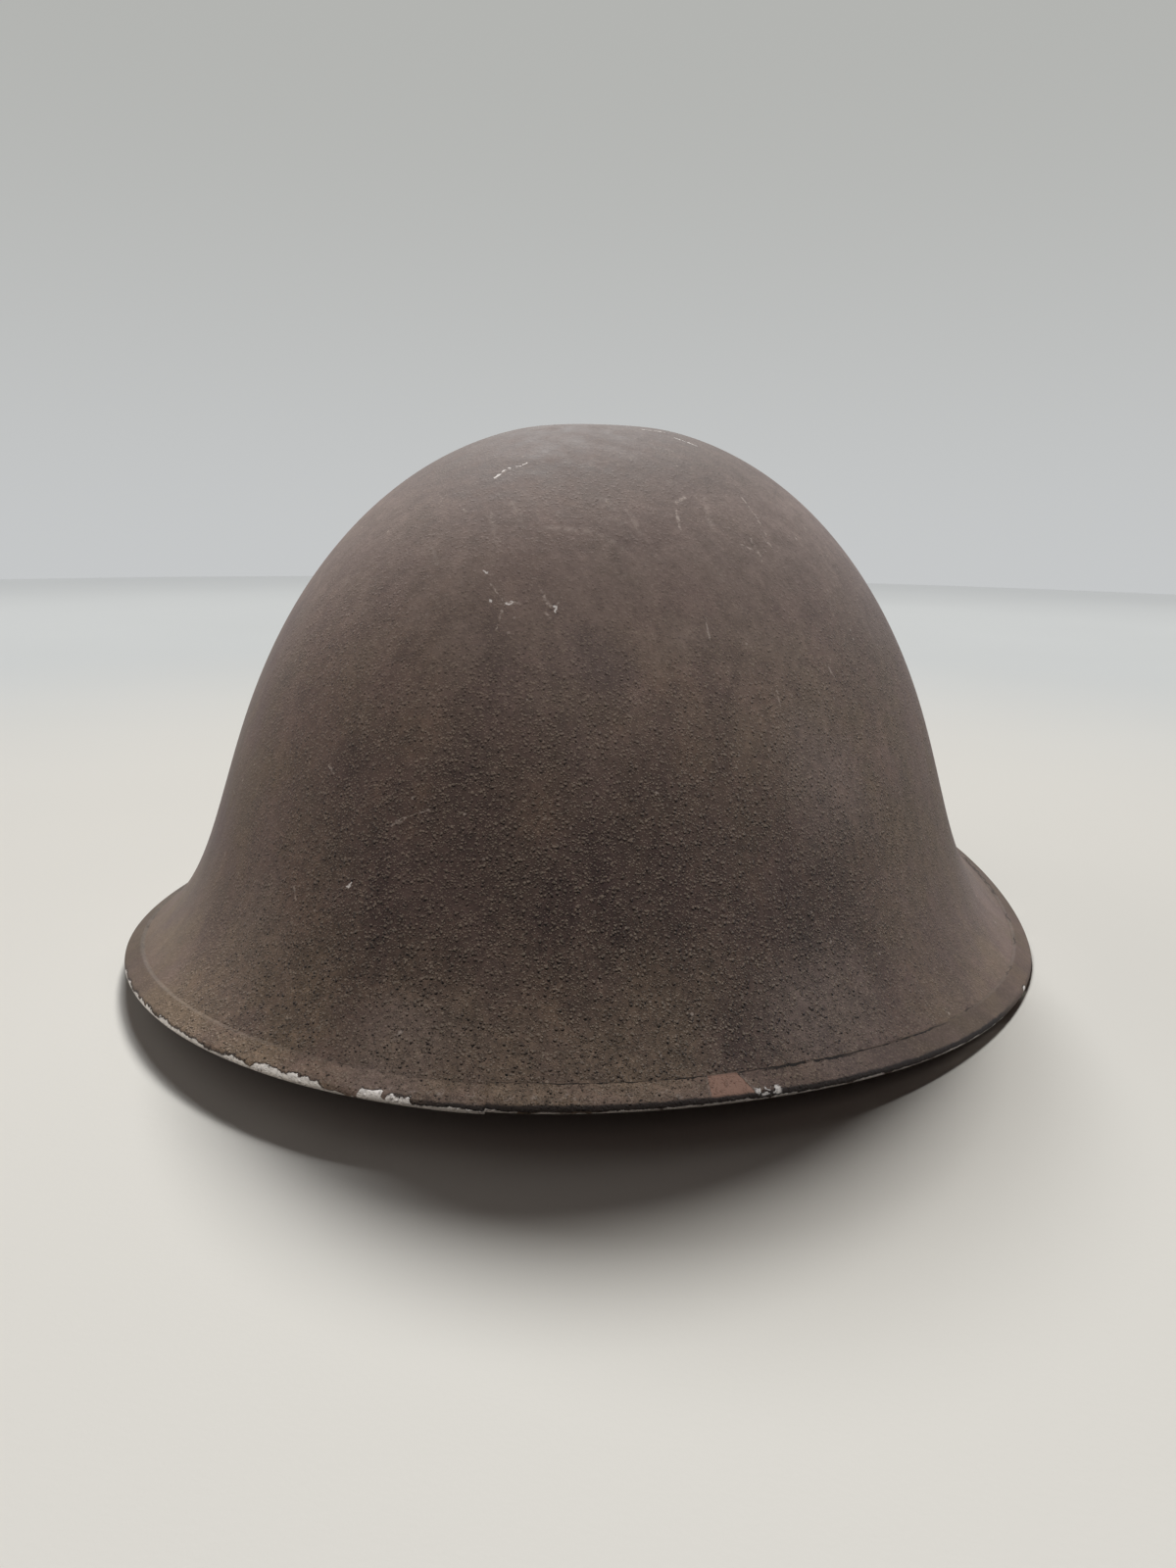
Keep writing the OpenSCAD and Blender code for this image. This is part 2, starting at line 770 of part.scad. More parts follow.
module buffer_rivets() {
    color(brass)
    for (turn = buffer_turns)
        on_band(turn, buffer_z + buffer_h/2)
            rivet(touch + buffer_wall + seat);
}

// Sweatband: a soft band, fullest in its middle, folded under and up outside the band.
module sweatband() {
    low = band_z - seat - sweat_fold_t;
    high = band_top + 2;
    full = sweat_t;
    edge = sweat_t/2;
    inner_off = [full - edge, full/4, 0, 0, full/4, full - edge];
    inner_share = [0, 0.08, 0.3, 0.7, 0.92, 1];
    out = full + band_space + band_t + seat;
    section = concat(
        [for (i = [0:5]) [inner_off[i], low + (high - low)*inner_share[i]]],
        [[full, high], [full, band_z - seat], [out, band_z - seat],
         [out, band_z + sweat_fold_h], [out + sweat_fold_t, band_z + sweat_fold_h],
         [out + sweat_fold_t, low + sweat_fold_t/2], [out + sweat_fold_t/2, low]]
    );
    n = len(section);
    points = [for (p = section) for (i = [0:around - 1])
        let (a = 360*i/around)
        [(head.x + p[0])*cos(a), (head.y + p[0])*sin(a), p[1]]];
    function id(k, i) = (k%n)*around + i%around;
    faces = [for (k = [0:n - 1]) for (i = [0:around - 1])
        for (f = [[id(k, i), id(k, i + 1), id(k + 1, i + 1)],
                  [id(k, i), id(k + 1, i + 1), id(k + 1, i)]]) f];
    color(oilcloth)
        polyhedron(points, faces, convexity = 6);
}

// Socket: the snap body over the straps, with a barrel through them to its plate.
plate_t = 1;
plate_d = socket_d + 4;
plate_z = cradle_z(plate_d/2, 0, band_out, long_rise) - seat - plate_t;

module liner_socket() {
    z = strap_top + seat;
    bore_d = stud_d + 2*socket_clear;
    color(brass)
    difference() {
        union() {
            translate([0, 0, z])
            rotate_extrude($fn = smooth)
                polygon([
                    [0, 0], [plate_d/2, 0], [plate_d/2, 1], [socket_d/2, 1.4],
                    [socket_d/2, socket_h - 1.5], [socket_d/2 - 2, socket_h], [0, socket_h]
                ]);
            translate([0, 0, plate_z])
                cylinder(d = barrel_d, h = z + cut - plate_z, $fn = smooth);
        }
        translate([0, 0, plate_z - cut])
            cylinder(d = bore_d, h = crown_z - plate_z, $fn = smooth);
    }
}

module socket_plate() {
    color(brass)
    translate([0, 0, plate_z])
    difference() {
        cylinder(d = plate_d, h = plate_t, $fn = smooth);
        translate([0, 0, -cut])
            cylinder(d = barrel_d + 2*seat, h = plate_t + 2*cut, $fn = smooth);
    }
}

// Crown pad: a soft four-armed cushion, crowned in the middle and drawn in at its edge.
module crown_pad() {
    shares = [0.25, 0.5, 0.72, 0.88, 0.97, 1];
    edge_t = pad_t/5;
    hang = band_top + long_rise - plate_z + seat;
    function outline(a) = pad_r + pad_arm*cos(4*a);
    function at(share, a) = share*outline(a)*[cos(a), sin(a)];
    function roof(p) = cradle_z(p.x, p.y, band_out, long_rise) - hang;
    function depth(share) = edge_t + (pad_t - edge_t)*sqrt(1 - pow(share, 3));
    function edge_drop(share) = edge_t*pow(share, 4);
    angles = [for (i = [0:47]) 360*i/48];
    top = [for (i = [5:-1:0]) [for (a = angles)
        let (p = at(shares[i], a))
        [p.x, p.y, roof(p) - edge_drop(shares[i])]]];
    bottom = [for (i = [5:-1:0]) [for (a = angles)
        let (p = at(shares[i], a))
        [p.x, p.y, roof(p) - edge_drop(shares[i]) - depth(shares[i])]]];
    middle = roof([0, 0]);
    color(rubber)
        dome_solid(top, [0, 0, middle], bottom, [0, 0, middle - pad_t]);
}

shell();
rim_band();
crown_rivet();
crown_washer();
liner_stud();
lug_left();
lug_right();
liner_socket();
socket_plate();
long_strap();
cross_strap();
liner_band();
strap_rivets();
buffer_front_left();
buffer_front_right();
buffer_rear_left();
buffer_rear_right();
buffer_rivets();
sweatband();
crown_pad();
chinstrap();
hook_left();
hook_right();
strap_slider();
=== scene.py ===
"""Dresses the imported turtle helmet: the pressed shell in its gritty faded paint, the folded
rim strip, the liner that hangs from its stud, and the webbing chinstrap on its two hooks."""

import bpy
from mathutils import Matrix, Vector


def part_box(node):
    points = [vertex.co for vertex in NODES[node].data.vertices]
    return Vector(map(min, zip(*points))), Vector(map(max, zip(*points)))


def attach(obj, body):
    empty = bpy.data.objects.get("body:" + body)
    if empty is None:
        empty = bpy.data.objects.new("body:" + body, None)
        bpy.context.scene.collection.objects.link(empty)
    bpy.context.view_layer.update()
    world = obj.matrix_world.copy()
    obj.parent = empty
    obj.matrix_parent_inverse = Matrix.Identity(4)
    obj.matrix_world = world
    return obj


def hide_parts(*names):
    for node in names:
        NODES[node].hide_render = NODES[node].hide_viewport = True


bl_info = {
    "name": "Turtle Helmet",
    "version": (1, 0, 0),
    "blender": (4, 5, 0),
    "location": "3D View > Sidebar > Helmet",
    "description": "Dresses the packed helmet, its liner and its chinstrap, and sets the stage",
    "category": "Object",
}

import math

import bpy
import numpy as np
from mathutils import Matrix, Vector, noise

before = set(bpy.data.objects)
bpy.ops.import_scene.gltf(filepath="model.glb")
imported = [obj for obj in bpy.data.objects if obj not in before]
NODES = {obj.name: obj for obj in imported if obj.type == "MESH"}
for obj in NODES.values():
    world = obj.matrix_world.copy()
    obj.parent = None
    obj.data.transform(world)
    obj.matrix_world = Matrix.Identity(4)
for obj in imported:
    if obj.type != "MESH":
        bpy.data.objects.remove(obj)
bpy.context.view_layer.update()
MM = 0.001
MERGE = 1e-6
CRADLE_POWER = 2.1
PLY_GAP = 0.3 * MM
FOLD_REACH = 1.2
STRIP_STEPS = 768
STRAP_STEPS = 128
CAMERA_PLACE = (116.73, -341.32, 125.45)
CAMERA_TARGET = (-0.708, -0.244, 40.646)
CAMERA_ROLL = 0.75
PHOTO_HEIGHT = 1600
PHOTO_FOCAL = 1207.3


def linear(red, green, blue):
    """A colour as it is seen on a screen, 0 to 255, turned into the linear one of a shader."""
    parts = [c / 255 for c in (red, green, blue)]
    return tuple(c / 12.92 if c < 0.04045 else ((c + 0.055) / 1.055) ** 2.4 for c in parts)


def length(name, description, millimetres):
    return bpy.props.FloatProperty(
        name=name, description=description, default=millimetres * MM, unit="LENGTH", precision=5
    )


def turn_angle(name, description, degrees):
    return bpy.props.FloatProperty(
        name=name, description=description, default=math.radians(degrees), subtype="ANGLE"
    )


def power(name, description, value):
    return bpy.props.FloatProperty(
        name=name, description=description, default=value, subtype="FACTOR", min=0.1, max=8
    )


def tint(name, description, *seen):
    return bpy.props.FloatVectorProperty(
        name=name, description=description, default=linear(*seen), subtype="COLOR", min=0, max=1
    )


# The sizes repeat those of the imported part, so that each piece lies where its node lies.
class HelmetShellSizes(bpy.types.PropertyGroup):
    """Sizes of the pressed steel shell"""

    brim_width: length("Brim width", "Width of the steel over the edges of its brim", 265)
    brim_length: length("Brim length", "Length of the steel over the edges of its brim", 303)
    crown_height: length("Crown height", "Height of the crown above the ground", 148)
    thickness: length("Thickness", "Thickness of the pressed steel", 1)
    side_flare: length("Side flare", "How far the brim flares out at the sides", 24)
    end_flare: length("End flare", "How far the brim flares out at the front and rear", 23)
    flare_fade: length("Flare fade", "Height over which the flare fades into the bowl", 17)
    front_rise: length("Front rise", "Rise of the brim at the front over its lowest points", 10)
    rear_rise: length("Rear rise", "Rise of the brim at the rear over its lowest points", 20.5)
    low_point: length("Low point", "How far ahead of the middle the brim is lowest", 5)
    crown_flat: length("Crown flat", "Depth by which the top of the crown is pressed flat", 1.1)
    plan_power: power("Plan power", "Squareness of the bowl seen from above", 1.87)
    shoulder_power: power("Shoulder power", "Fullness of the bowl's shoulder", 2.14)
    side_power: power("Side power", "Steepness of the bowl's sides", 2.07)
    end_power: power("End power", "Steepness of the bowl's front and rear", 1.9)
    dents: length("Dents", "Depth of the shallow unevenness that long use has left", 0.12)


class HelmetRimSizes(bpy.types.PropertyGroup):
    """Sizes of the folded rim strip"""

    leg: length("Leg", "Width of each leg of the folded strip and its fillet of paint", 5.8)
    thickness: length("Thickness", "Thickness of the strip", 0.8)
    clearance: length("Clearance", "Gap between the strip and the steel that it wraps", 0.05)
    rest_flat: length("Rest flat", "Depth of the flats worn where the rim rests", 0.45)
    fillet: length("Paint fillet", "Width of the paint that fills the strip's top edge", 0.8)
    sag: length("Sag", "How far the front of the brim hangs by the strip's joint", 0.55)
    step: length("Step", "How far the strip's one end hangs below the other", 0.6)
    joint_turn: turn_angle("Joint", "Turn from the front to the strip's butt joint", 11.25)


class HelmetLinerSizes(bpy.types.PropertyGroup):
    """Sizes of the liner"""

    side_room: length("Side room", "Room between the bowl's foot and the head, at the sides", 30.5)
    end_room: length("End room", "Room between the bowl's foot and the head, at the ends", 28.5)
    sweat_thickness: length("Sweatband", "Thickness of the sweatband at its fullest", 2.4)
    fold_thickness: length("Fold", "Thickness of the sweatband's fold", 1.2)
    fold_height: length("Fold height", "Height of the fold outside the fibre band", 7.5)
    band_thickness: length("Band thickness", "Thickness of the fibre band", 1.5)
    band_foot: length("Band foot", "Height of the fibre band's lower edge", 33)
    band_height: length("Band height", "Height of the fibre band", 29)
    band_space: length("Band space", "Space between the sweatband and the fibre band", 0.9)
    strap_width: length("Strap width", "Width of the cradle's straps", 32)
    strap_thickness: length("Strap thickness", "Thickness of the cradle's straps", 1.5)
    tab_length: length("Tab length", "Length of the strap ends on the fibre band", 19)
    crown_gap: length("Crown gap", "Space between the crown and the straps' crossing", 12)
    pad_thickness: length("Pad thickness", "Thickness of the crown pad at its fullest", 8)
    pad_radius: length("Pad radius", "Mean radius of the crown pad", 42)
    pad_arm: length("Pad arm", "How far the arms of the pad stand out", 11)
    stitch_pitch: length("Stitch pitch", "Distance from one stitch to the next", 3.4)


class HelmetChinstrapSizes(bpy.types.PropertyGroup):
    """Sizes of the chinstrap, its hooks and the lugs that it swings on"""

    pivot_height: length("Pivot height", "Height of the pivots above the ground", 17)
    pivot_back: length("Pivot back", "How far behind the middle the pivots lie", 4)
    shelf_rise: length("Shelf rise", "Height of the lug's shelf above the pivot", 6.6)
    lug_standoff: length("Lug standoff", "Distance from the bowl's wall to the lug's ear", 14)
    lug_thickness: length("Lug thickness", "Thickness of the lug's plate", 1.6)
    foot_width: length("Foot width", "Width of the lug's foot on the shell", 22)
    foot_height: length("Foot height", "Height of the lug's foot", 17)
    wire: length("Wire", "Diameter of the hooks' wire", 3)
    wire_clearance: length("Wire clearance", "Clearance of the wire in the lug's hole", 0.3)
    hook_arm: length("Hook arm", "Length from the pivot to the loop's first bar", 9)
    loop_length: length("Loop length", "Length of the loop that holds the webbing", 11)
    web_width: length("Webbing width", "Width of the webbing", 19)
    web_thickness: length("Webbing thickness", "Thickness of the webbing", 2)
    fold_length: length("Fold length", "Length of the sewn fold behind each loop", 14)
    run_length: length("Run length", "Length of the straight run behind each loop", 47)
    run_lean: turn_angle("Run lean", "Angle by which the straight runs close in", 14)
    stow_gap: length("Stow gap", "Lowest height of the webbing when it lies stowed", 0.3)


class HelmetColours(bpy.types.PropertyGroup):
    """Colours of the helmet's finishes, and of the stage"""

    paint: tint("Paint", "Faded brown-grey paint of the shell", 104, 86, 77)
    paint_olive: tint("Olive paint", "Greener places in the paint", 101, 85, 71)
    paint_dark: tint("Dark paint", "Dark purplish places in the paint", 67, 53, 49)
    paint_warm: tint("Warm paint", "Rusty streaks in the paint", 108, 87, 71)
    paint_worn: tint("Worn paint", "Paint rubbed pale on the crown", 117, 102, 94)
    chalk: tint("Chalk", "Pale scratches and dust in the paint", 172, 158, 146)
    primer: tint("Primer", "Red-brown primer where the paint has flaked", 144, 113, 97)
    bare_steel: tint("Bare steel", "Bright bare metal along the rim's fold", 228, 221, 213)
    inner_paint: tint("Inner paint", "Dark green-brown paint inside the shell", 72, 68, 56)
    rust: tint("Rust", "Rust in scratches and at the welds", 104, 62, 38)
    brass: tint("Brass", "Brass of the snap parts and the rivets", 176, 143, 84)
    zinc: tint("Zinc", "Zinc plate on the hooks and the washer", 168, 170, 168)
    oilcloth: tint("Oilcloth", "Black oilcloth of the straps", 44, 41, 39)
    sweat_leather: tint("Sweatband", "Dark brown leathercloth of the sweatband", 66, 50, 40)
    fibre: tint("Fibre", "Vulcanised fibre of the band", 122, 78, 50)
    rubber: tint("Rubber", "Dusty black rubber of the buffers", 58, 56, 54)
    webbing: tint("Webbing", "Khaki cotton of the chinstrap", 128, 118, 84)
    thread: tint("Thread", "Waxed linen thread", 158, 144, 112)
    floor: tint("Floor", "Pale floor", 225, 223, 217)
    backdrop: tint("Backdrop", "Pale grey of the room behind the floor", 198, 200, 201)


class Bowl:
    """The surface that the shell is pressed to: a turn round it, from the wearer's left, and a
    share of its height give a point."""

    def __init__(self, scene):
        s, rim = scene.helmet_shell, scene.helmet_rim
        self.sizes, self.rim = s, rim
        self.half_width = s.brim_width / 2 - s.side_flare
        self.half_length = s.brim_length / 2 - s.end_flare
        self.low = s.low_point / (s.brim_length / 2)
        self.blend = s.crown_flat / 2 + 0.05 * MM
        self.fold_radius = s.thickness / 2 + rim.clearance + rim.thickness
        self.edge = self.fold_radius + s.thickness / 2 - rim.rest_flat
        self.roof = float(self.pressed(np.array(s.crown_height + s.crown_flat))) - s.thickness

    def foot(self, turn):
        q = np.sin(turn) + self.low
        front = self.sizes.front_rise * (q / (1 - self.low)) ** 2
        rear = self.sizes.rear_rise * (q / (1 + self.low)) ** 2
        return self.edge + np.where(q < 0, front, rear)

    def plan(self, turn):
        p = self.sizes.plan_power
        across = (np.abs(np.cos(turn)) / self.half_width) ** p
        along = (np.abs(np.sin(turn)) / self.half_length) ** p
        return (across + along) ** (-1 / p)

    def steepness(self, turn):
        s = self.sizes
        return s.side_power * np.cos(turn) ** 2 + s.end_power * np.sin(turn) ** 2

    def pressed(self, z):
        top = self.sizes.crown_height
        return top - self.blend * np.logaddexp(0, (top - z) / self.blend)

    def at(self, turn, share):
        s = self.sizes
        flare = s.side_flare * np.cos(turn) ** 2 + s.end_flare * np.sin(turn) ** 2
        wall = np.maximum(0, 1 - share ** self.steepness(turn)) ** (1 / s.shoulder_power)
        fade = np.exp(-share * s.crown_height / s.flare_fade) * (1 - share)
        r = self.plan(turn) * wall + flare * fade
        foot = self.foot(turn)
        z = self.pressed(foot + (s.crown_height + s.crown_flat - foot) * share)
        return np.stack([r * np.cos(turn), r * np.sin(turn), z], -1)

    def outward(self, turn, share):
        step = 1e-4
        low, high = np.maximum(0, share - step), np.minimum(1, share + step)
        round_it = self.at(turn + step, share) - self.at(turn - step, share)
        n = np.cross(round_it, self.at(turn, high) - self.at(turn, low))
        return n / np.linalg.norm(n, axis=-1, keepdims=True)

    def off(self, turn, share, distance):
        distance = np.asarray(distance)[..., None]
        return self.at(turn, share) + distance * self.outward(turn, share)

    def share_at(self, turn, z):
        foot = self.foot(turn)
        top = self.sizes.crown_height + self.sizes.crown_flat
        return np.maximum(0, (z - foot) / (top - foot))

    def wall_radius(self, turn, z):
        turn = np.asarray(turn, float)
        inner = self.off(turn, self.share_at(turn, z), -self.sizes.thickness)
        return np.linalg.norm(inner[..., :2], axis=-1)

    def sagged(self, turn):
        """How far the brim and its strip hang down at the front, by the strip's joint."""
        ahead = np.degrees((np.asarray(turn) + math.pi / 2 + math.pi) % (2 * math.pi) - math.pi)
        return self.rim.sag * np.exp(-(((ahead - 15) / 15) ** 2))

    def leg_share(self):
        side, step = np.array(0.0), 1e-3
        rise = self.at(side, np.array(step)) - self.at(side, np.array(0.0))
        return float(self.rim.leg * step / np.linalg.norm(rise))


class Liner:
    """Where the liner's pieces lie."""

    def __init__(self, scene):
        s, self.bowl = scene.helmet_liner, Bowl(scene)
        self.sizes = s
        room = np.array([s.side_room, s.end_room])
        self.head = np.array([self.bowl.half_width, self.bowl.half_length]) - room
        self.band_inside = self.head + s.sweat_thickness + s.band_space
        self.band_outside = self.band_inside + s.band_thickness
        self.band_top = s.band_foot + s.band_height
        self.strap_top = self.bowl.roof - s.crown_gap
        self.cross_rise = self.strap_top - s.strap_thickness - self.band_top
        self.long_rise = self.cross_rise - s.strap_thickness - PLY_GAP

    def cradle(self, x, y, size, rise):
        q = np.minimum(np.hypot(x / size[0], y / size[1]), 1)
        return self.band_top + rise * (1 - q**CRADLE_POWER) ** (1 / CRADLE_POWER)


class Chinstrap:
    """Where the chinstrap's pieces lie: drawn flat with the pivots on X, then laid in the shell."""

    def __init__(self, scene):
        s, bowl = scene.helmet_chinstrap, Bowl(scene)
        self.sizes, self.bowl = s, bowl
        self.shelf = s.pivot_height + s.shelf_rise
        self.ear = float(bowl.wall_radius(0.0, self.shelf)) - s.lug_standoff
        self.hook = self.ear - s.lug_thickness / 2 - s.wire_clearance - s.wire / 2
        self.tip = self.ear + s.lug_thickness / 2 + s.wire_clearance + s.wire / 2
        self.bar = s.hook_arm + s.loop_length
        self.run = np.array([-math.sin(s.run_lean), math.cos(s.run_lean)])
        self.out = np.array([math.cos(s.run_lean), math.sin(s.run_lean)])
        start = np.array([self.hook, self.bar]) - s.web_thickness / 2 * self.out
        end = start + s.run_length * self.run
        self.back_radius = end[0] / math.cos(s.run_lean)
        self.back_centre = end[1] - self.back_radius * math.sin(s.run_lean)
        reach = self.back_centre + self.back_radius + s.web_thickness / 2
        half = s.web_width / 2
        self.stow = math.asin(
            (s.pivot_height - s.stow_gap) / math.hypot(reach, half)
        ) - math.atan2(half, reach)

    def laid(self):
        s = self.sizes
        lift = Matrix.Translation((0, s.pivot_back, s.pivot_height))
        return lift @ Matrix.Rotation(-self.stow, 4, "X")


# Modelling steps.
def clear_selection():
    if bpy.context.mode != "OBJECT":
        bpy.ops.object.mode_set(mode="OBJECT")
    bpy.ops.object.select_all(action="DESELECT")


def take_up(piece):
    clear_selection()
    piece.select_set(True)
    bpy.context.view_layer.objects.active = piece


def added(name):
    piece = bpy.context.object
    piece.name = name
    piece.data.name = name
    return piece


def edit(kind="VERT"):
    bpy.ops.object.mode_set(mode="EDIT")
    bpy.ops.mesh.select_mode(type=kind)


def leave():
    bpy.ops.object.mode_set(mode="OBJECT")


def leave_facing_outward():
    bpy.ops.mesh.select_all(action="SELECT")
    bpy.ops.mesh.normals_make_consistent(inside=False)
    leave()


def pick(piece, kind, test):
    """Selects the vertices, edges or faces that pass a test, in edit mode."""
    bpy.ops.mesh.select_mode(type=kind)
    bpy.ops.mesh.select_all(action="DESELECT")
    leave()
    mesh = piece.data
    if kind == "VERT":
        for v in mesh.vertices:
            v.select = bool(test(v.co))
    elif kind == "EDGE":
        for e in mesh.edges:
            a, b = (mesh.vertices[i].co for i in e.vertices)
            e.select = bool(test(a, b))
    else:
        for p in mesh.polygons:
            p.select = bool(test(p.center, p.normal))
    edit(kind)


def points_of(piece):
    co = np.zeros(len(piece.data.vertices) * 3)
    piece.data.vertices.foreach_get("co", co)
    return co.reshape(-1, 3)


def set_points(piece, co):
    piece.data.vertices.foreach_set("co", np.asarray(co, np.float32).ravel())
    piece.data.update()


def mark_points(piece, name, values):
    layer = piece.data.attributes.new(name, "FLOAT", "POINT")
    layer.data.foreach_set("value", np.asarray(values, np.float32))


def apply_modifier(piece, kind, **settings):
    take_up(piece)
    modifier = piece.modifiers.new(kind.title(), kind)
    for key, value in settings.items():
        setattr(modifier, key, value)
    bpy.ops.object.modifier_apply(modifier=modifier.name)


def smooth(piece, degrees=35):
    take_up(piece)
    bpy.ops.object.shade_smooth_by_angle(angle=math.radians(degrees), keep_sharp_edges=False)


def cut_counts(parts):
    """Numbers of cuts that, one after another, divide an edge into that many parts."""
    counts = []
    while parts > 1:
        step = max(d for d in range(2, 101) if parts % d == 0)
        counts.append(step - 1)
        parts //= step
    return counts


def draw_skin(name, rows, ends="filled", along=None, across=None):
    """A skin over rows of points. A ring is drawn up once, cut across, and laid on the points;
    its ends are filled, left open, or joined to each other. The piece keeps how far along and
    across it each point lies."""
    rows = np.asarray(rows, float)
    steps, count = rows.shape[0] - 1, rows.shape[1]
    clear_selection()
    bpy.ops.mesh.primitive_circle_add(vertices=count, radius=1, fill_type="NOTHING")
    piece = added(name)
    edit()
    bpy.ops.mesh.select_all(action="SELECT")
    bpy.ops.mesh.extrude_region_move(TRANSFORM_OT_translate={"value": (0, 0, steps)})
    for cuts in cut_counts(steps):
        pick(piece, "EDGE", lambda a, b: abs(a.z - b.z) > 0.5)
        bpy.ops.mesh.subdivide(number_cuts=cuts)
    leave()
    drawn = points_of(piece)
    turn = np.arctan2(drawn[:, 1], drawn[:, 0]) - math.pi / 2
    k = np.rint(turn / (2 * math.pi) * count).astype(int) % count
    j = np.rint(drawn[:, 2]).astype(int)
    set_points(piece, rows[j, k])
    for title, values in (("along", along), ("across", across)):
        if values is not None:
            values = np.asarray(values, float)
            mark_points(piece, title, values[j if title == "along" else k])
    edit()
    bpy.ops.mesh.select_all(action="SELECT")
    if ends == "filled":
        bpy.ops.mesh.fill_holes(sides=0)
    if ends == "joined":
        bpy.ops.mesh.remove_doubles(threshold=MERGE)
    leave_facing_outward()
    return piece


def copied(node, name):
    """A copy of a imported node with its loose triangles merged, left in edit mode."""
    clear_selection()
    piece = bpy.data.objects.new(name, NODES[node].data.copy())
    bpy.context.scene.collection.objects.link(piece)
    piece.data.name = name
    take_up(piece)
    bpy.ops.mesh.customdata_custom_splitnormals_clear()
    edit()
    bpy.ops.mesh.select_all(action="SELECT")
    bpy.ops.mesh.remove_doubles(threshold=MERGE)
    bpy.ops.mesh.select_all(action="SELECT")
    return piece


def softened(node, name, width, segments=2, flat=1.0):
    """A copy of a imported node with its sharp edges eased."""
    piece = copied(node, name)
    bpy.ops.mesh.dissolve_limited(angle_limit=math.radians(flat))
    leave_facing_outward()
    piece.data.materials.clear()
    apply_modifier(
        piece, "BEVEL", width=width, segments=segments, limit_method="ANGLE",
        angle_limit=math.radians(40), use_clamp_overlap=True,
    )
    smooth(piece, 40)
    return piece


def round_loop(width, thickness, radius, flats=10, corner=3):
    """Outline of a flat bar with rounded corners: thickness along the first axis, width along
    the second, with as many points in each broad face as flats says."""
    points = []
    quarter = np.linspace(0, math.pi / 2, corner + 1)
    a, b = thickness / 2 - radius, width / 2 - radius
    for start, (ca, cb) in zip(range(4), ((a, b), (-a, b), (-a, -b), (a, -b))):
        for q in quarter:
            angle = start * math.pi / 2 + q
            points.append((ca + radius * math.cos(angle), cb + radius * math.sin(angle)))
        if start == 1:
            points += [(-thickness / 2, y) for y in np.linspace(b, -b, flats + 2)[1:-1]]
        if start == 3:
            points += [(thickness / 2, y) for y in np.linspace(-b, b, flats + 2)[1:-1]]
    return np.array(points)


def even(path, count):
    """The points of a path set out again at even distances, and the distances."""
    steps = np.linalg.norm(np.diff(path, axis=0), axis=1)
    run = np.concatenate([[0], np.cumsum(steps)])
    at = np.linspace(0, run[-1], count + 1)
    return np.stack([np.interp(at, run, path[:, i]) for i in range(path.shape[1])], 1), at


def eased(path, times, closed=False):
    """A path with its corners cut, and its ends kept."""
    for _ in range(times):
        following = np.roll(path, -1, 0) if closed else path[1:]
        before = path if closed else path[:-1]
        cut = np.empty((2 * len(before), path.shape[1]))
        cut[0::2] = 0.75 * before + 0.25 * following
        cut[1::2] = 0.25 * before + 0.75 * following
        path = cut if closed else np.vstack([path[:1], cut, path[-1:]])
    return path


def bent_corners(path, radius, closed=False, steps=6):
    """A path of straight lines with each corner bent to a radius."""
    points = []
    n = len(path)
    for i in range(n):
        p = path[i]
        if not closed and i in (0, n - 1):
            points.append(p)
            continue
        before, after = path[i - 1] - p, path[(i + 1) % n] - p
        a, b = before / np.linalg.norm(before), after / np.linalg.norm(after)
        half = math.acos(max(-1.0, min(1.0, float(a @ b)))) / 2
        reach = radius / math.tan(half)
        middle = (a + b) / np.linalg.norm(a + b)
        centre = p + middle * radius / math.sin(half)
        first, last = p + a * reach - centre, p + b * reach - centre
        sweep = math.pi - 2 * half
        for s in np.linspace(0, 1, steps + 1):
            points.append(
                centre + (math.sin((1 - s) * sweep) * first + math.sin(s * sweep) * last)
                / math.sin(sweep)
            )
    return np.array(points)


def wire_rows(path, radii, around=16, closed=False):
    """Rings of points round a path, kept from turning on it."""
    path = np.asarray(path, float)
    if closed:
        ahead = np.roll(path, -1, 0) - np.roll(path, 1, 0)
    else:
        ahead = np.gradient(path, axis=0)
    ahead /= np.linalg.norm(ahead, axis=1, keepdims=True)
    side = np.cross(ahead[0], [0.31, 0.17, 0.93])
    rows = []
    for p, d, r in zip(path, ahead, radii):
        side = side - d * (side @ d)
        side /= np.linalg.norm(side)
        other = np.cross(d, side)
        a = np.linspace(0, 2 * math.pi, around, endpoint=False)[:, None]
        rows.append(p + r * (np.cos(a) * side + np.sin(a) * other))
    if closed:
        rows.append(rows[0])
    return np.array(rows)


def moved(rows, matrix):
    m = np.array(matrix)
    return rows @ m[:3, :3].T + m[:3, 3]


def rough_noise(points, scale, seed=0.0):
    """Smooth noise from -1 to 1 at each point."""
    shift = Vector((seed, -seed, 2 * seed))
    return np.array([noise.noise(Vector(p) * scale + shift) for p in points])


def sewn(name, places, size):
    """Stitches: one drawn from a small ball, copied to each place and joined."""
    clear_selection()
    bpy.ops.mesh.primitive_ico_sphere_add(subdivisions=2, radius=1)
    first = added(name)
    first.data.transform(Matrix.Diagonal((size[0], size[1], size[2], 1)))
    copies = []
    for matrix in places:
        copy = bpy.data.objects.new(name, first.data.copy())
        copy.data.transform(matrix)
        bpy.context.scene.collection.objects.link(copy)
        copies.append(copy)
    bpy.data.objects.remove(first)
    clear_selection()
    for copy in copies:
        copy.select_set(True)
    bpy.context.view_layer.objects.active = copies[0]
    bpy.ops.object.join()
    piece = added(name)
    bpy.ops.object.shade_smooth()
    return piece


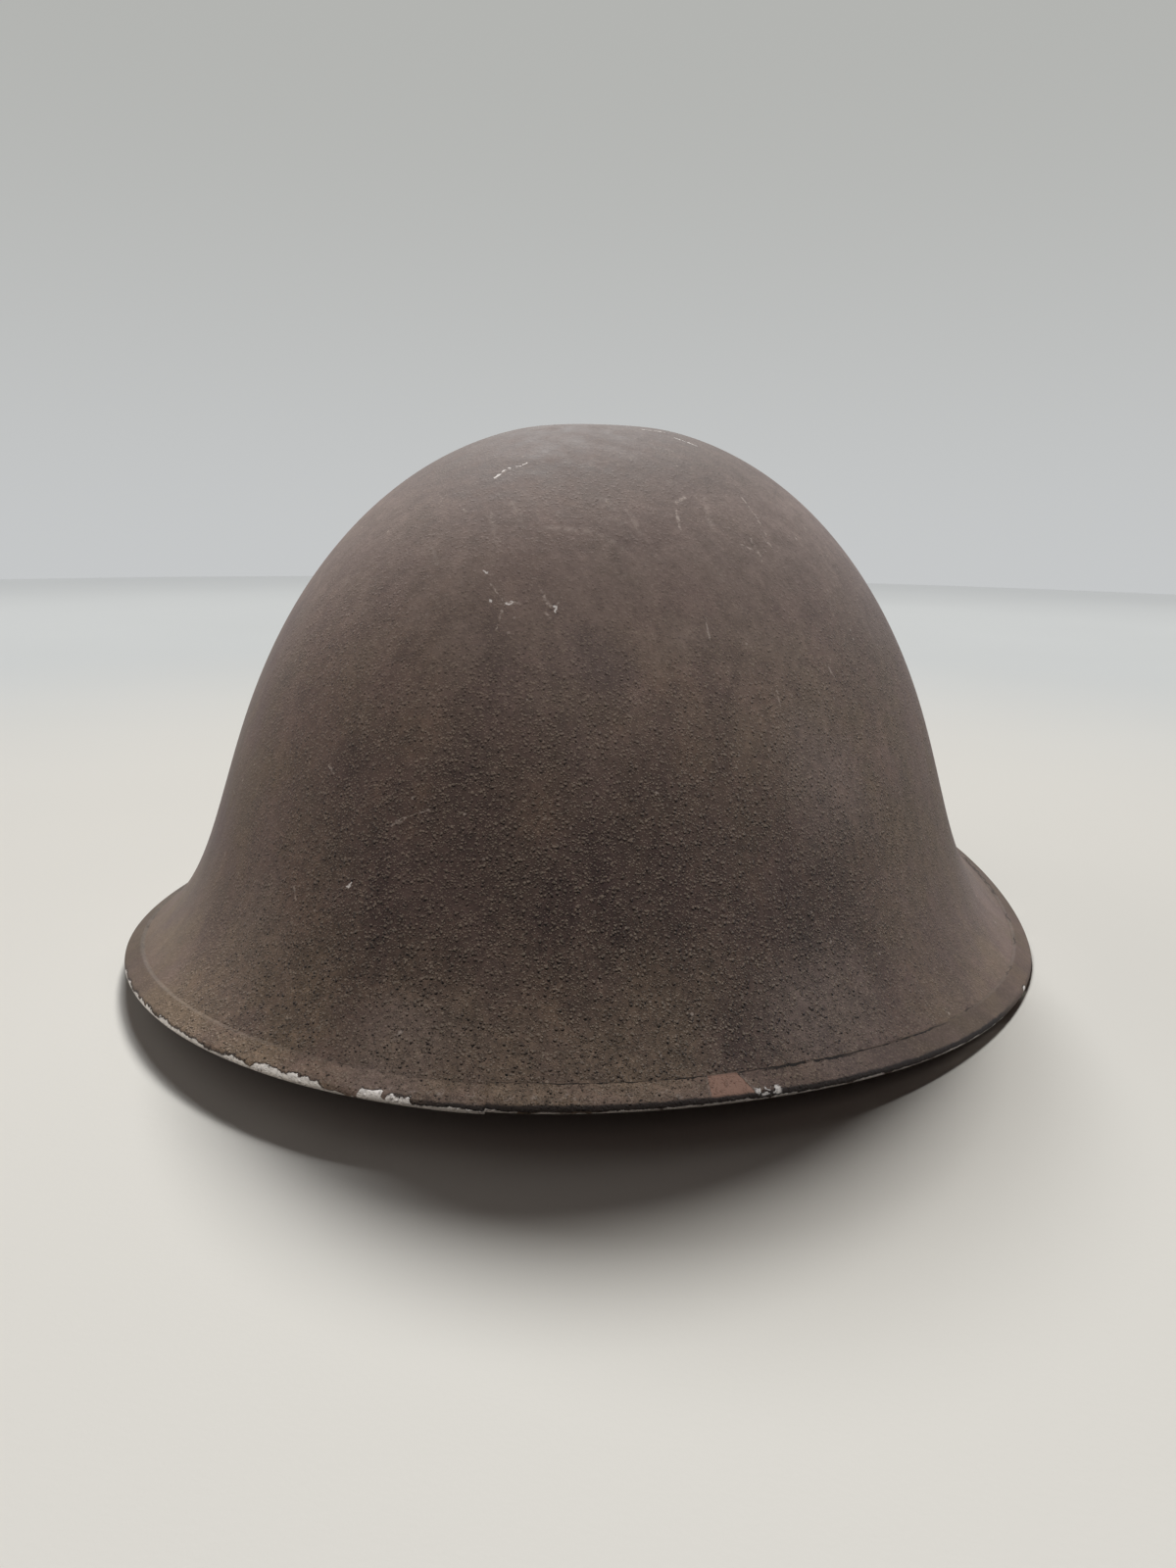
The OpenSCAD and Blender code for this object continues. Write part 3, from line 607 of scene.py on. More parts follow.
def finish(piece, body, slot, *materials, replaces=(), smoothed=None):
    """Gives a piece its materials, its body and the nodes that it stands for; the slot is not used.
    """
    if smoothed:
        smooth(piece, smoothed)
    piece.data.materials.clear()
    for material in materials:
        piece.data.materials.append(material)
    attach(piece, body)
    if replaces:
        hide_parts(*replaces)


def paint_node(node, material):
    """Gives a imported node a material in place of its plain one."""
    mesh = NODES[node].data
    mesh.materials.clear()
    mesh.materials.append(material)


# Tones that only one finish uses.
LOW_DUST = linear(116, 99, 78)
# Painted highlight on top of the paint's grains.
GRAIN_HIGHLIGHT = linear(150, 134, 116)
# Painted shade under the rim's fold, and soot.
SOOT_AND_FOLD_SHADE = linear(30, 25, 24)
CRACK = linear(18, 14, 13)
RIDGE = linear(150, 130, 108)
BRASS_STAIN = linear(86, 82, 58)
CLOTH_DUST = linear(128, 118, 102)
RUBBER_DUST = linear(150, 140, 124)
WEB_GRIME = linear(66, 56, 42)
MIDDLE_FLOOR = linear(211, 214, 214)
FAR_FLOOR = linear(194, 197, 198)
HIGH_WALL = linear(179, 180, 177)


# Finishes.
class Tree:
    """Plain steps for putting a node tree together."""

    def __init__(self, tree):
        self.tree = tree

    def new(self, kind, **settings):
        node = self.tree.nodes.new(kind)
        for key, value in settings.items():
            setattr(node, key, value)
        return node

    def feed(self, socket, value):
        if isinstance(value, bpy.types.NodeSocket):
            self.tree.links.new(value, socket)
        elif value is not None:
            if socket.type == "RGBA" and len(value) == 3:
                value = (*value, 1)
            socket.default_value = value

    def math(self, operation, a, b=None, clamp=False):
        node = self.new("ShaderNodeMath", operation=operation, use_clamp=clamp)
        for socket, value in zip(node.inputs, (a, b)):
            self.feed(socket, value)
        return node.outputs[0]

    def chain(self, operation, values):
        found = values[0]
        for value in values[1:]:
            found = self.math(operation, found, value)
        return found

    def plus(self, *values):
        return self.chain("ADD", values)

    def product(self, *values):
        return self.chain("MULTIPLY", values)

    def most(self, *values):
        return self.chain("MAXIMUM", values)

    def minus(self, a, b):
        return self.math("SUBTRACT", a, b)

    def size(self, value):
        return self.math("ABSOLUTE", value)

    def rest(self, *shares):
        """What a product of shares leaves of 1."""
        return self.minus(1.0, self.product(*shares))

    def wave(self, value, period):
        return self.math("SINE", self.product(value, 2 * math.pi / period))

    def vector(self, operation, a, b=None, out="Vector"):
        node = self.new("ShaderNodeVectorMath", operation=operation)
        for socket, value in zip(node.inputs, (a, b)):
            self.feed(socket, value)
        return node.outputs[out]

    def step(self, value, low, high, to_low=0.0, to_high=1.0):
        """Rises smoothly from one value to another as its input goes from low to high."""
        if low > high:
            low, high, to_low, to_high = high, low, to_high, to_low
        node = self.new("ShaderNodeMapRange", interpolation_type="SMOOTHSTEP")
        for title, v in (("Value", value), ("From Min", low), ("From Max", high),
                         ("To Min", to_low), ("To Max", to_high)):
            self.feed(node.inputs[title], v)
        return node.outputs["Result"]

    def window(self, value, start, end, soft):
        """Is 1 from start to end, and fades to 0 beside them."""
        return self.product(self.step(value, start - soft, start + soft),
                            self.step(value, end + soft, end - soft))

    def separate(self, vector):
        node = self.new("ShaderNodeSeparateXYZ")
        self.feed(node.inputs[0], vector)
        return node.outputs

    def texture(self, kind, where, out, settings, **sockets):
        node = self.new(kind, **settings)
        self.feed(node.inputs["Vector"], where)
        for title, value in sockets.items():
            node.inputs[title].default_value = value
        return node.outputs[out]

    def noise(self, scale, detail=3.0, roughness=0.55, stretch=None, shift=0.0, out="Fac"):
        """Cloudy noise, its middle value about a half."""
        where = self.place
        if stretch or shift:
            node = self.new("ShaderNodeMapping")
            self.feed(node.inputs["Vector"], where)
            node.inputs["Scale"].default_value = stretch or (1, 1, 1)
            node.inputs["Location"].default_value = (shift, shift, shift)
            where = node.outputs["Vector"]
        return self.texture("ShaderNodeTexNoise", where, out, {},
                            Scale=scale, Detail=detail, Roughness=roughness)

    def centred(self, scale, detail=3.0, roughness=0.55):
        return self.minus(self.noise(scale, detail, roughness), 0.5)

    def cells(self, scale, at=None, feature="F1", out="Distance"):
        return self.texture("ShaderNodeTexVoronoi", at or self.place, out,
                            {"feature": feature}, Scale=scale)

    def blend(self, factor, a, b):
        node = self.new("ShaderNodeMix", data_type="RGBA")
        for number, value in ((0, factor), (6, a), (7, b)):
            self.feed(node.inputs[number], value)
        return node.outputs[2]

    def times(self, colour, factor):
        """A colour made lighter or darker by a factor."""
        node = self.new("ShaderNodeVectorMath", operation="SCALE")
        self.feed(node.inputs[0], colour)
        self.feed(node.inputs["Scale"], factor)
        return node.outputs[0]

    def over(self, tone, colour, *shares):
        """A colour laid over a tone, as strongly as a product of shares says."""
        return self.blend(self.product(*shares), tone, colour)

    def dimmed(self, tone, *shares):
        """A tone darkened by a product of shares."""
        return self.times(tone, self.rest(*shares))

    def mottled(self, colour, factor, cloud, low, high):
        """A colour that goes over to a lighter or darker one where a cloud is high."""
        return self.blend(self.step(cloud, low, high), colour, self.times(colour, factor))

    def attribute(self, name):
        return self.new("ShaderNodeAttribute", attribute_name=name).outputs["Fac"]


class Finish(Tree):
    """A material for one of the helmet's finishes."""

    def __init__(self, name, roughness=0.6, metallic=0.0, **sockets):
        self.material = bpy.data.materials.new(name)
        self.material.use_nodes = True
        super().__init__(self.material.node_tree)
        self.shader = self.tree.nodes["Principled BSDF"]
        self.set(Roughness=roughness, Metallic=metallic, **sockets)
        self.place = self.new("ShaderNodeTexCoord").outputs["Object"]
        self.normal = None

    def set(self, **sockets):
        for title, value in sockets.items():
            self.feed(self.shader.inputs[title.replace("_", " ")], value)

    def bump(self, height, distance, strength=1.0):
        """Adds a relief of that depth in metres over those before it."""
        node = self.new("ShaderNodeBump")
        self.feed(node.inputs["Height"], height)
        self.feed(node.inputs["Strength"], strength)
        node.inputs["Distance"].default_value = distance
        if self.normal is not None:
            self.feed(node.inputs["Normal"], self.normal)
        self.normal = node.outputs[0]
        self.set(Normal=self.normal)

    def done(self, tone, rough):
        self.set(Base_Color=tone, Roughness=rough)
        return self.material


def mark_group(name, inputs, near_of):
    """Node group for one kind of mark. It gives the stronger of the mark's mask and the one
    before it, and the place. The place is moved a hair where the mark is, so that the marks are
    worked out one by one, because hundreds of steps side by side are more than a shader can
    hold."""
    group = bpy.data.node_groups.get(name)
    if group:
        return group
    group = bpy.data.node_groups.new(name, "ShaderNodeTree")
    for title, kind in (("Place", "Vector"), ("Before", "Float"), *inputs):
        group.interface.new_socket(title, in_out="INPUT", socket_type="NodeSocket" + kind)
    for title, kind in (("Mask", "Float"), ("Place", "Vector")):
        group.interface.new_socket(title, in_out="OUTPUT", socket_type="NodeSocket" + kind)
    t = Tree(group)
    start, end = t.new("NodeGroupInput"), t.new("NodeGroupOutput")
    place, before, *others = [start.outputs[i] for i in range(2 + len(inputs))]
    near = near_of(t, place, *others)
    t.feed(end.inputs[0], t.most(before, near))
    t.feed(end.inputs[1], t.vector("ADD", place, t.times((0.0, 0.0, 0.0004), near)))
    return group


def near_line(t, place, first, last, width):
    ap, ab = t.vector("SUBTRACT", place, first), t.vector("SUBTRACT", last, first)
    share = t.math("DIVIDE", t.vector("DOT_PRODUCT", ap, ab, out="Value"),
                   t.vector("DOT_PRODUCT", ab, ab, out="Value"), clamp=True)
    gap = t.vector("LENGTH", t.vector("SUBTRACT", ap, t.times(ab, share)), out="Value")
    return t.math("SUBTRACT", 1.0, t.math("DIVIDE", gap, width), clamp=True)


def near_spot(t, place, centre, radius):
    gap = t.vector("LENGTH", t.vector("SUBTRACT", place, centre), out="Value")
    return t.step(t.math("DIVIDE", gap, radius), 1.0, 0.15)


def scratch_group():
    """Node group: how near a point is to a short line, as a mask."""
    inputs = (("From", "Vector"), ("To", "Vector"), ("Width", "Float"))
    return mark_group("Scratch", inputs, near_line)


def spot_group():
    """Node group: how near a point is to the middle of a round place, as a soft mask."""
    return mark_group("Spot", (("Centre", "Vector"), ("Radius", "Float")), near_spot)


def marked(t, place, group, marks):
    """The strongest mask of a set of marks, each a set of numbers in millimetres."""
    before = None
    for numbers in marks:
        node = t.new("ShaderNodeGroup", node_tree=group)
        t.feed(node.inputs["Place"], place)
        t.feed(node.inputs["Before"], before)
        for socket, value in zip(list(node.inputs)[2:], numbers):
            plain = isinstance(value, (int, float))
            socket.default_value = value * MM if plain else [v * MM for v in value]
        before, place = node.outputs["Mask"], node.outputs["Place"]
    return before


# Chips and scuffs in the shell's paint, as short lines over its face, in millimetres: from, to
# and half their width.
BRIGHT_CHIPS = [
    ((-4.2, -63.3, 132.0), (-3.7, -62.3, 132.7), 0.75),
    ((-3.2, -61.0, 133.5), (-2.9, -60.6, 133.8), 0.5),
    ((-2.2, -59.7, 134.3), (-1.8, -59.6, 134.4), 0.45),
    ((-0.5, -58.8, 134.8), (0.7, -58.5, 135.0), 0.45),
    ((1.0, -58.0, 135.2), (1.7, -57.2, 135.7), 0.45),
    ((22.1, -91.2, 103.6), (22.8, -92.0, 102.3), 0.45),
    ((11.6, -94.3, 103.7), (12.8, -93.8, 104.1), 0.4),
    ((4.4, -89.5, 110.6), (4.9, -89.7, 110.3), 0.45),
    ((7.8, -94.4, 104.6), (8.1, -94.5, 104.4), 0.35),
    ((-12.6, -125.6, 43.8), (-11.9, -125.4, 44.7), 0.4),
    ((19.2, -16.6, 146.1), (24.1, -11.1, 145.6), 0.45),
    ((28.5, -15.4, 143.8), (34.4, -14.5, 141.8), 0.45),
]
PALE_SCUFFS = [
    ((10.6, -94.5, 103.8), (14.6, -93.3, 104.2), 0.6),
    ((6.6, -91.5, 108.1), (10.5, -93.8, 104.6), 0.3),
    ((11.2, -95.4, 102.5), (11.1, -98.5, 98.5), 0.35),
    ((13.6, -94.4, 103.0), (15.3, -95.4, 101.2), 0.4),
    ((18.3, -89.8, 106.9), (20.3, -91.4, 104.2), 0.5),
    ((20.0, -91.0, 104.8), (21.4, -91.7, 103.4), 0.5),
    ((22.9, -89.3, 105.4), (22.5, -91.8, 102.7), 0.35),
    ((21.0, -93.0, 101.9), (22.0, -93.3, 101.1), 0.4),
    ((51.2, -32.4, 128.0), (55.8, -35.3, 123.2), 0.5),
    ((55.8, -35.3, 123.2), (58.9, -38.3, 119.1), 0.6),
    ((58.8, -40.2, 118.3), (60.6, -40.4, 116.5), 0.6),
    ((55.2, -49.3, 116.6), (59.0, -46.6, 114.7), 0.5),
    ((56.6, -44.9, 117.9), (60.2, -47.6, 112.9), 0.7),
    ((39.9, -55.0, 124.8), (42.3, -59.6, 120.3), 0.6),
    ((39.2, -52.5, 126.6), (40.5, -49.1, 127.7), 0.7),
    ((77.9, -49.3, 88.0), (79.5, -48.8, 85.6), 0.5),
    ((69.1, -68.1, 83.9), (70.3, -69.4, 80.3), 0.4),
    ((-3.0, -121.1, 58.5), (4.9, -119.7, 61.6), 0.4),
    ((-4.2, -121.4, 57.4), (-1.4, -121.1, 58.7), 0.35),
    ((6.6, -141.9, 18.4), (7.6, -140.5, 19.7), 0.5),
    ((-8.1, -74.1, 124.2), (-7.1, -74.8, 123.8), 0.6),
    ((-24.4, -112.7, 67.6), (-21.9, -114.3, 65.9), 0.3),
    ((-28.8, -122.1, 40.9), (-26.3, -124.6, 37.3), 0.35),
    ((52.5, -72.8, 100.7), (54.1, -75.5, 96.1), 0.3),
]
FAINT_SMEARS = [
    ((-0.5, -75.4, 123.9), (4.5, -82.9, 117.2), 1.3),
    ((4.1, -72.4, 125.9), (8.0, -76.7, 122.1), 1.5),
    ((8.9, -70.6, 126.7), (11.3, -74.2, 123.6), 1.1),
    ((24.0, -63.6, 127.4), (27.4, -64.8, 125.1), 1.6),
    ((27.1, -68.2, 122.8), (30.5, -67.8, 121.5), 1.6),
    ((15.2, -76.9, 120.4), (24.0, -74.0, 119.7), 1.4),
    ((30.1, -63.7, 124.7), (35.1, -67.7, 119.1), 1.3),
    ((44.1, -44.5, 127.8), (48.4, -52.7, 120.3), 1.6),
    ((26.8, -74.0, 118.4), (33.2, -73.2, 115.8), 1.5),
    ((-12.0, -83.8, 115.0), (-8.6, -87.7, 111.9), 1.2),
]
# Places where the paint is darker, rustier or dustier, in millimetres: centre and radius.
# The large dark places over the lower front are painted shade as well as dark paint, and the
# pale places high on the front are painted light as well as dust.
DARK_PAINT_AND_SHADE_PLACES = [
    ((36, -95, 90), 16), ((16, -118, 50), 74), ((40, -112, 44), 62), ((78, -88, 34), 52),
    ((74, -102, 17), 34),
]
RUSTY_PLACES = [
    ((0, -112, 78), 10), ((-6, -104, 92), 9), ((-11, -96, 102), 9), ((4, -117, 62), 9),
    ((55, -88, 84), 9), ((58, -91, 68), 10), ((-28, -124, 38), 14), ((36, -130, 22), 12),
    ((-58, -102, 45), 14), ((98, 44, 50), 14), ((-60, 96, 60), 16), ((30, 118, 50), 14),
]
DUST_AND_PAINTED_LIGHT_PLACES = [
    ((-1, -85, 115), 24), ((24, -90, 100), 40), ((88, -66, 66), 26), ((45, -63, 116), 24),
    ((-41, -124, 27), 20), ((12, -143, 15), 18), ((89, -92, 14), 26), ((-10, 60, 130), 34),
    ((-70, -20, 112), 26),
]


def random_scratches(bowl, count, seed):
    """Short hairline scratches scattered over the bowl, in millimetres."""
    scatter = np.random.default_rng(seed)
    lines = []
    for _ in range(count):
        turn, share = scatter.uniform(0, 2 * math.pi), scatter.uniform(0.12, 0.96)
        reach = scatter.uniform(1.5, 6.0) / 110
        lean = scatter.uniform(0, math.pi)
        across, up = reach * math.cos(lean), reach * math.sin(lean)
        ends = [tuple(bowl.at(np.array(turn + k * across), np.array(share + k * up)) / MM)
                for k in (-0.5, 0.5)]
        lines.append((*ends, float(scatter.uniform(0.2, 0.4))))
    return lines


def shaken(f, scale, reach, detail=3.0):
    """The place, shaken about by noise."""
    cloud = f.noise(scale, detail, 0.5, out="Color")
    shift = f.vector("SUBTRACT", cloud, (0.5, 0.5, 0.5))
    return f.vector("ADD", f.place, f.times(shift, reach * 2))


def paint_tones(f, c):
    """Faded paint shared by the shell and the rim strip: its colour, with painted light and shade
    in it, how strong its grit is, how worn it is, and a small cloudy noise."""
    x, y, z = f.separate(f.place)
    middle = f.noise(52, 4.0, 0.6, shift=7.7)
    streak = f.noise(1.0, 5.0, 0.62, stretch=(58, 58, 13), shift=1.9)
    fine_streak = f.noise(1.0, 4.0, 0.6, stretch=(190, 190, 42), shift=4.3)
    small, dust = f.noise(170, 5.0, 0.65), f.noise(900, 3.0, 0.7)
    about = shaken(f, 26, 0.016)

    def placed(marks, share):
        return f.product(marked(f, about, spot_group(), marks), share)

    tone = f.blend(f.step(middle, 0.35, 0.66), c.paint, c.paint_olive)
    # Dark paint and streaks; the large dark places over the lower front are painted shade as well.
    dark = f.math("ADD", placed(DARK_PAINT_AND_SHADE_PLACES, 0.78), f.step(streak, 0.46, 0.68, 0.0, 0.34),
                  clamp=True)
    cloud = f.product(f.step(f.noise(11, shift=8.8), 0.50, 0.72, 0.0, 0.6),
                      f.step(y, -0.09, -0.05))
    tone = f.over(tone, c.paint_dark, f.most(dark, cloud))
    rusty = f.plus(placed(RUSTY_PLACES, 0.3), f.product(f.step(streak, 0.45, 0.32), 0.3))
    tone = f.over(tone, c.paint_warm, rusty, f.step(fine_streak, 0.32, 0.6))
    # The crown and the dusty places are rubbed pale, those high on the front also as painted light,
    # and dust lies low on the brim.
    worn = f.step(f.plus(z, f.product(f.minus(middle, 0.5), 0.05)), 0.068, 0.126)
    rubbed = f.most(f.product(worn, f.step(small, 0.25, 0.6, 0.6, 1.0)),
                    placed(DUST_AND_PAINTED_LIGHT_PLACES, 0.6))
    tone = f.over(tone, c.paint_worn, rubbed, 0.85)
    tone = f.over(tone, LOW_DUST, f.step(z, 0.046, 0.014), f.step(middle, 0.3, 0.65, 0.35, 1.0),
                  f.step(x, 0.078, 0.050, 0.1, 1.0), 0.36)
    # Painted shade: the top of the crown, which the keys light from behind, and the wearer's right,
    # which the low lamp lights, are darkened; and all of it varies a little.
    tone = f.times(tone, f.product(f.step(z, 0.124, 0.136, 1.0, 0.72),
                                   f.step(z, 0.137, 0.147, 1.0, 0.8)))
    for value, *change in ((x, -0.066, -0.10, 1.0, 0.86), (fine_streak, 0.25, 0.75, 0.90, 1.10),
                           (small, 0.2, 0.8, 0.87, 1.13), (dust, 0.25, 0.75, 0.87, 1.13)):
        tone = f.times(tone, f.step(value, *change))
    grit = f.product(f.step(z, 0.03, 0.085, 1.0, 0.75), f.step(worn, 0.0, 0.95, 1.0, 0.22),
                     f.step(f.size(f.minus(x, 0.028)), 0.105, 0.055, 0.15, 1.0),
                     f.step(middle, 0.25, 0.6, 0.65, 1.0))
    return tone, grit, worn, small


def grains(f, tone, grit):
    """Lays the sand of the paint over a tone: a painted highlight, pale as dust, on top of each
    grain, and painted shade under it.
    """
    where = shaken(f, 640, 0.00022, detail=2.0)
    above = f.vector("ADD", where, (0.0, 0.0, 0.00024))
    coarsest, heights, lit = 860, [], []
    for scale, most, least in ((coarsest, 0.42, 0.46), (1250, 0.52, 0.56), (1900, 0.0, 0.01)):
        near, upper = f.cells(scale, at=where), f.cells(scale, at=above)
        kept = f.step(f.separate(f.cells(scale, at=where, out="Color"))[0], most, least)
        heights.append(f.product(f.step(near, 0.42, 0.14), kept, coarsest / scale))
        lit.append(f.product(f.minus(upper, near), f.step(near, 0.52, 0.34), kept))
    slope = f.plus(lit[0], lit[1], f.product(lit[2], 0.6))
    # Painted highlight on the upper side of each grain, then painted shade under it.
    tone = f.over(tone, GRAIN_HIGHLIGHT, f.step(slope, 0.05, 0.20), grit, 0.62)
    tone = f.dimmed(tone, f.step(slope, -0.03, -0.14), grit)
    tone = f.times(tone, f.plus(1.0, f.product(f.centred(430, 4.0, 0.7), grit, 1.5)))
    creases = f.step(f.size(f.centred(520, 3.0, 0.65)), 0.030, 0.004)
    tone = f.dimmed(tone, creases, grit, f.step(f.separate(f.place)[2], 0.075, 0.03), 0.42)
    return tone, f.plus(*heights)


def shell_finish(c, bowl):
    """Gritty faded paint, rubbed pale on the crown, chipped and scuffed."""
    f = Finish("faded_shell_paint", roughness=0.74, Specular_IOR_Level=0.2, Sheen_Weight=0.05,
               Sheen_Roughness=0.5, Sheen_Tint=(0.82, 0.88, 1.0, 1.0))
    tone, grit, worn, small = paint_tones(f, c)
    tone, ball = grains(f, tone, grit)
    ragged, torn = shaken(f, 900, 0.0006), shaken(f, 1100, 0.0010, detail=4.0)

    def scratched(where, marks, low, high):
        return f.step(marked(f, where, scratch_group(), marks), low, high)

    chips = scratched(torn, BRIGHT_CHIPS, 0.22, 0.5)
    scuffs = scratched(ragged, PALE_SCUFFS, 0.02, 0.75)
    smears = scratched(f.place, FAINT_SMEARS, 0.0, 1.0)
    hairs = scratched(ragged, random_scratches(bowl, 18, 5), 0.05, 0.7)
    broken = f.step(f.noise(560, 4.0, 0.7), 0.42, 0.58)
    rubs = f.noise(1.0, 5.0, 0.7, stretch=(420, 420, 110), shift=2.2)
    rubs = f.product(f.step(rubs, 0.56, 0.70), f.step(worn, 0.25, 0.9),
                     f.step(f.noise(60, shift=6.1), 0.45, 0.62))
    specks = f.product(f.step(f.cells(190), 0.09, 0.05),
                       f.step(f.noise(30, shift=5), 0.46, 0.62))
    for shares in ((smears, broken, 0.22), (rubs, 0.22), (scuffs, broken, 0.62),
                   (hairs, broken, 0.32), (specks, 0.55)):
        tone = f.over(tone, c.chalk, *shares)
    tone = f.over(tone, c.bare_steel, chips, 0.8)
    f.bump(ball, 0.00055, grit)
    f.bump(f.noise(320, 4.0, 0.6), 0.00030, 0.45)
    f.bump(f.rest(chips), 0.0002, 0.6)
    return f.done(tone, f.step(small, 0.2, 0.8, 0.68, 0.82))


def inner_finish(c):
    """Smooth dark paint inside the shell, with a little rust coming through."""
    f = Finish("shell_inner_paint", roughness=0.55, Specular_IOR_Level=0.4)
    cloudy, fine = f.noise(24, 5.0), f.noise(420, 4.0)
    tone = f.mottled(c.inner_paint, 0.72, cloudy, 0.3, 0.7)
    tone = f.over(tone, c.rust, f.step(f.noise(60, 6.0, 0.7), 0.60, 0.70),
                  f.step(fine, 0.4, 0.6), 0.8)
    scraped = f.step(f.noise(1.0, 5.0, stretch=(40, 240, 240)), 0.695, 0.73)
    tone = f.over(tone, c.chalk, scraped, 0.5)
    f.bump(f.noise(240, 5.0), 0.0003, 0.5)
    return f.done(tone, f.step(fine, 0.3, 0.7, 0.48, 0.66))


def rim_finish(c):
    """Paint of the rim strip: its cracked seam, its bare worn fold and its flaked primer, with
    painted light on its front and painted shade under its fold and on its wearer's right. The
    piece keeps each point's turn from the front in degrees, and its way up from the fold."""
    f = Finish("faded_rim_paint", roughness=0.68, Specular_IOR_Level=0.24)
    tone, grit, _, small = paint_tones(f, c)
    turn, up = f.attribute("along"), f.attribute("across")
    ragged, coarse, slow = f.centred(650, 5.0, 0.7), f.centred(230, 4.0, 0.6), f.centred(70)

    def span(start, end, soft):
        return f.window(turn, start, end, soft)

    def shifted(value, by, share):
        return f.plus(value, f.product(by, share))

    # Painted light lifts the front of the strip; painted shade darkens its wearer's right side, and
    # its wearer's left side is made darker.
    painted_front_light = f.product(span(-28.0, 38.0, 16.0), 0.40)
    shade_and_darker_side = f.plus(f.product(span(46.0, 140.0, 10.0), 0.24),
                    f.product(span(-140.0, -18.0, 12.0), 0.32))
    tone = f.times(tone, f.minus(f.plus(0.94, painted_front_light), shade_and_darker_side))
    sandy = f.product(grit, f.step(f.size(turn), 60.0, 25.0, 0.45, 0.95))
    tone, ball = grains(f, tone, sandy)
    # Fine pale scratches and specks low on the face, and a speckled lower edge.
    fine = f.step(f.noise(1.0, 5.0, 0.75, stretch=(520, 520, 900)), 0.56, 0.64)
    fine = f.product(fine, span(2.0, 30.0, 6.0), f.window(f.plus(up, coarse), 0.9, 3.4, 0.7))
    lines = f.cells(300, feature="DISTANCE_TO_EDGE", at=shaken(f, 240, 0.003))
    lines = f.product(f.step(lines, 0.025, 0.008), span(6.0, 27.0, 4.0),
                      f.window(up, 1.2, 4.4, 0.5), f.step(coarse, 0.0, 0.08))
    tone = f.over(tone, c.chalk, f.most(fine, lines), 0.42)
    pitted = span(2.0, 44.0, 6.0)
    tone = f.dimmed(tone, f.step(f.noise(1300, 3.0, 0.7), 0.55, 0.64), pitted, 0.42)
    tone = f.dimmed(tone, f.window(up, 0.9, 2.4, 0.8), pitted, 0.16)
    # The crack where the paint has parted along the seam.
    wander = f.plus(f.product(coarse, 2.3), f.product(ragged, 1.3))
    line = f.plus(up, shifted(wander, slow, 0.5))
    thin = f.product(f.window(line, 6.08, 6.52, 0.08), span(12.0, 58.0, 3.0),
                     f.step(f.plus(slow, coarse), -0.10, -0.04))
    wide = f.product(f.window(line, 5.62, 6.78, 0.10), span(34.5, 44.0, 2.0),
                     f.step(coarse, -0.10, -0.02))
    faint = f.product(f.window(line, 6.25, 6.45, 0.08), f.step(slow, 0.04, 0.12), 0.6)
    crack = f.most(thin, wide, faint)
    tone = f.over(tone, CRACK, crack, 0.95)
    tone = f.dimmed(tone, f.window(up, 5.9, 7.6, 0.3), 0.16)
    tone = f.over(tone, RIDGE, f.window(line, 6.8, 7.3, 0.3), span(-70.0, 75.0, 30.0), 0.12)
    # Primer, where a flake of paint has gone from the seam down to the fold.
    side, height = shifted(turn, ragged, 0.35), shifted(up, ragged, 0.5)
    slant = shifted(side, up, 0.22)
    patch = f.product(f.step(side, 28.95, 29.05), f.step(slant, 33.15, 33.05),
                      f.window(height, 0.85, 6.3, 0.08))
    lip = f.product(f.step(side, 28.75, 28.9), f.step(slant, 33.45, 33.3),
                    f.window(height, 0.6, 6.5, 0.08))
    tone = f.over(tone, c.chalk, lip, 0.14)
    tone = f.blend(patch, tone, f.mottled(c.primer, 0.86, small, 0.3, 0.7))
    # The inner paint, which runs up to the fold.
    inner = f.step(shifted(up, coarse, 1.6), -0.9, -1.5)
    tone = f.blend(inner, tone, f.mottled(c.inner_paint, 0.75, small, 0.3, 0.7))
    # Painted shade, dark as soot, along the underside of the fold, and bare metal: ragged flakes
    # towards the wearer's right, a thin bright line towards the left.
    tone = f.over(tone, SOOT_AND_FOLD_SHADE, f.window(shifted(up, coarse, 0.7), 0.10, 1.0, 0.18),
                  span(5.0, 72.0, 4.0), 0.92)
    drift = shifted(turn, coarse, 2.6)
    reach = f.most(*[f.product(f.window(value, start, end, soft), high)
                     for value, start, end, soft, high in (
                         (turn, -42.0, -9.0, 2.0, 0.64), (turn, -8.6, -1.6, 0.6, 0.95),
                         (drift, 1.4, 3.0, 0.15, 1.3), (drift, 3.7, 5.9, 0.4, 1.2),
                         (turn, 5.6, 12.4, 0.4, 0.42))])
    thread = f.product(span(-60.0, 66.0, 6.0), f.step(slow, -0.10, 0.06, 0.14, 0.30),
                       f.step(f.noise(150, shift=3.3), 0.38, 0.50))
    odd = f.product(f.step(slow, 0.06, 0.14), f.step(f.size(turn), 62.0, 78.0), 0.75)
    reach = f.most(reach, thread, odd)
    tears = f.plus(f.product(ragged, 1.3), f.product(coarse, 2.4))
    edge = shifted(up, tears, f.step(reach, 0.1, 0.9, 0.25, 1.0))
    past = f.minus(edge, reach)
    bare = f.product(f.step(past, 0.04, -0.04), f.step(shifted(up, reach, 0.45), -0.36, -0.14),
                     f.step(reach, 0.02, 0.10))
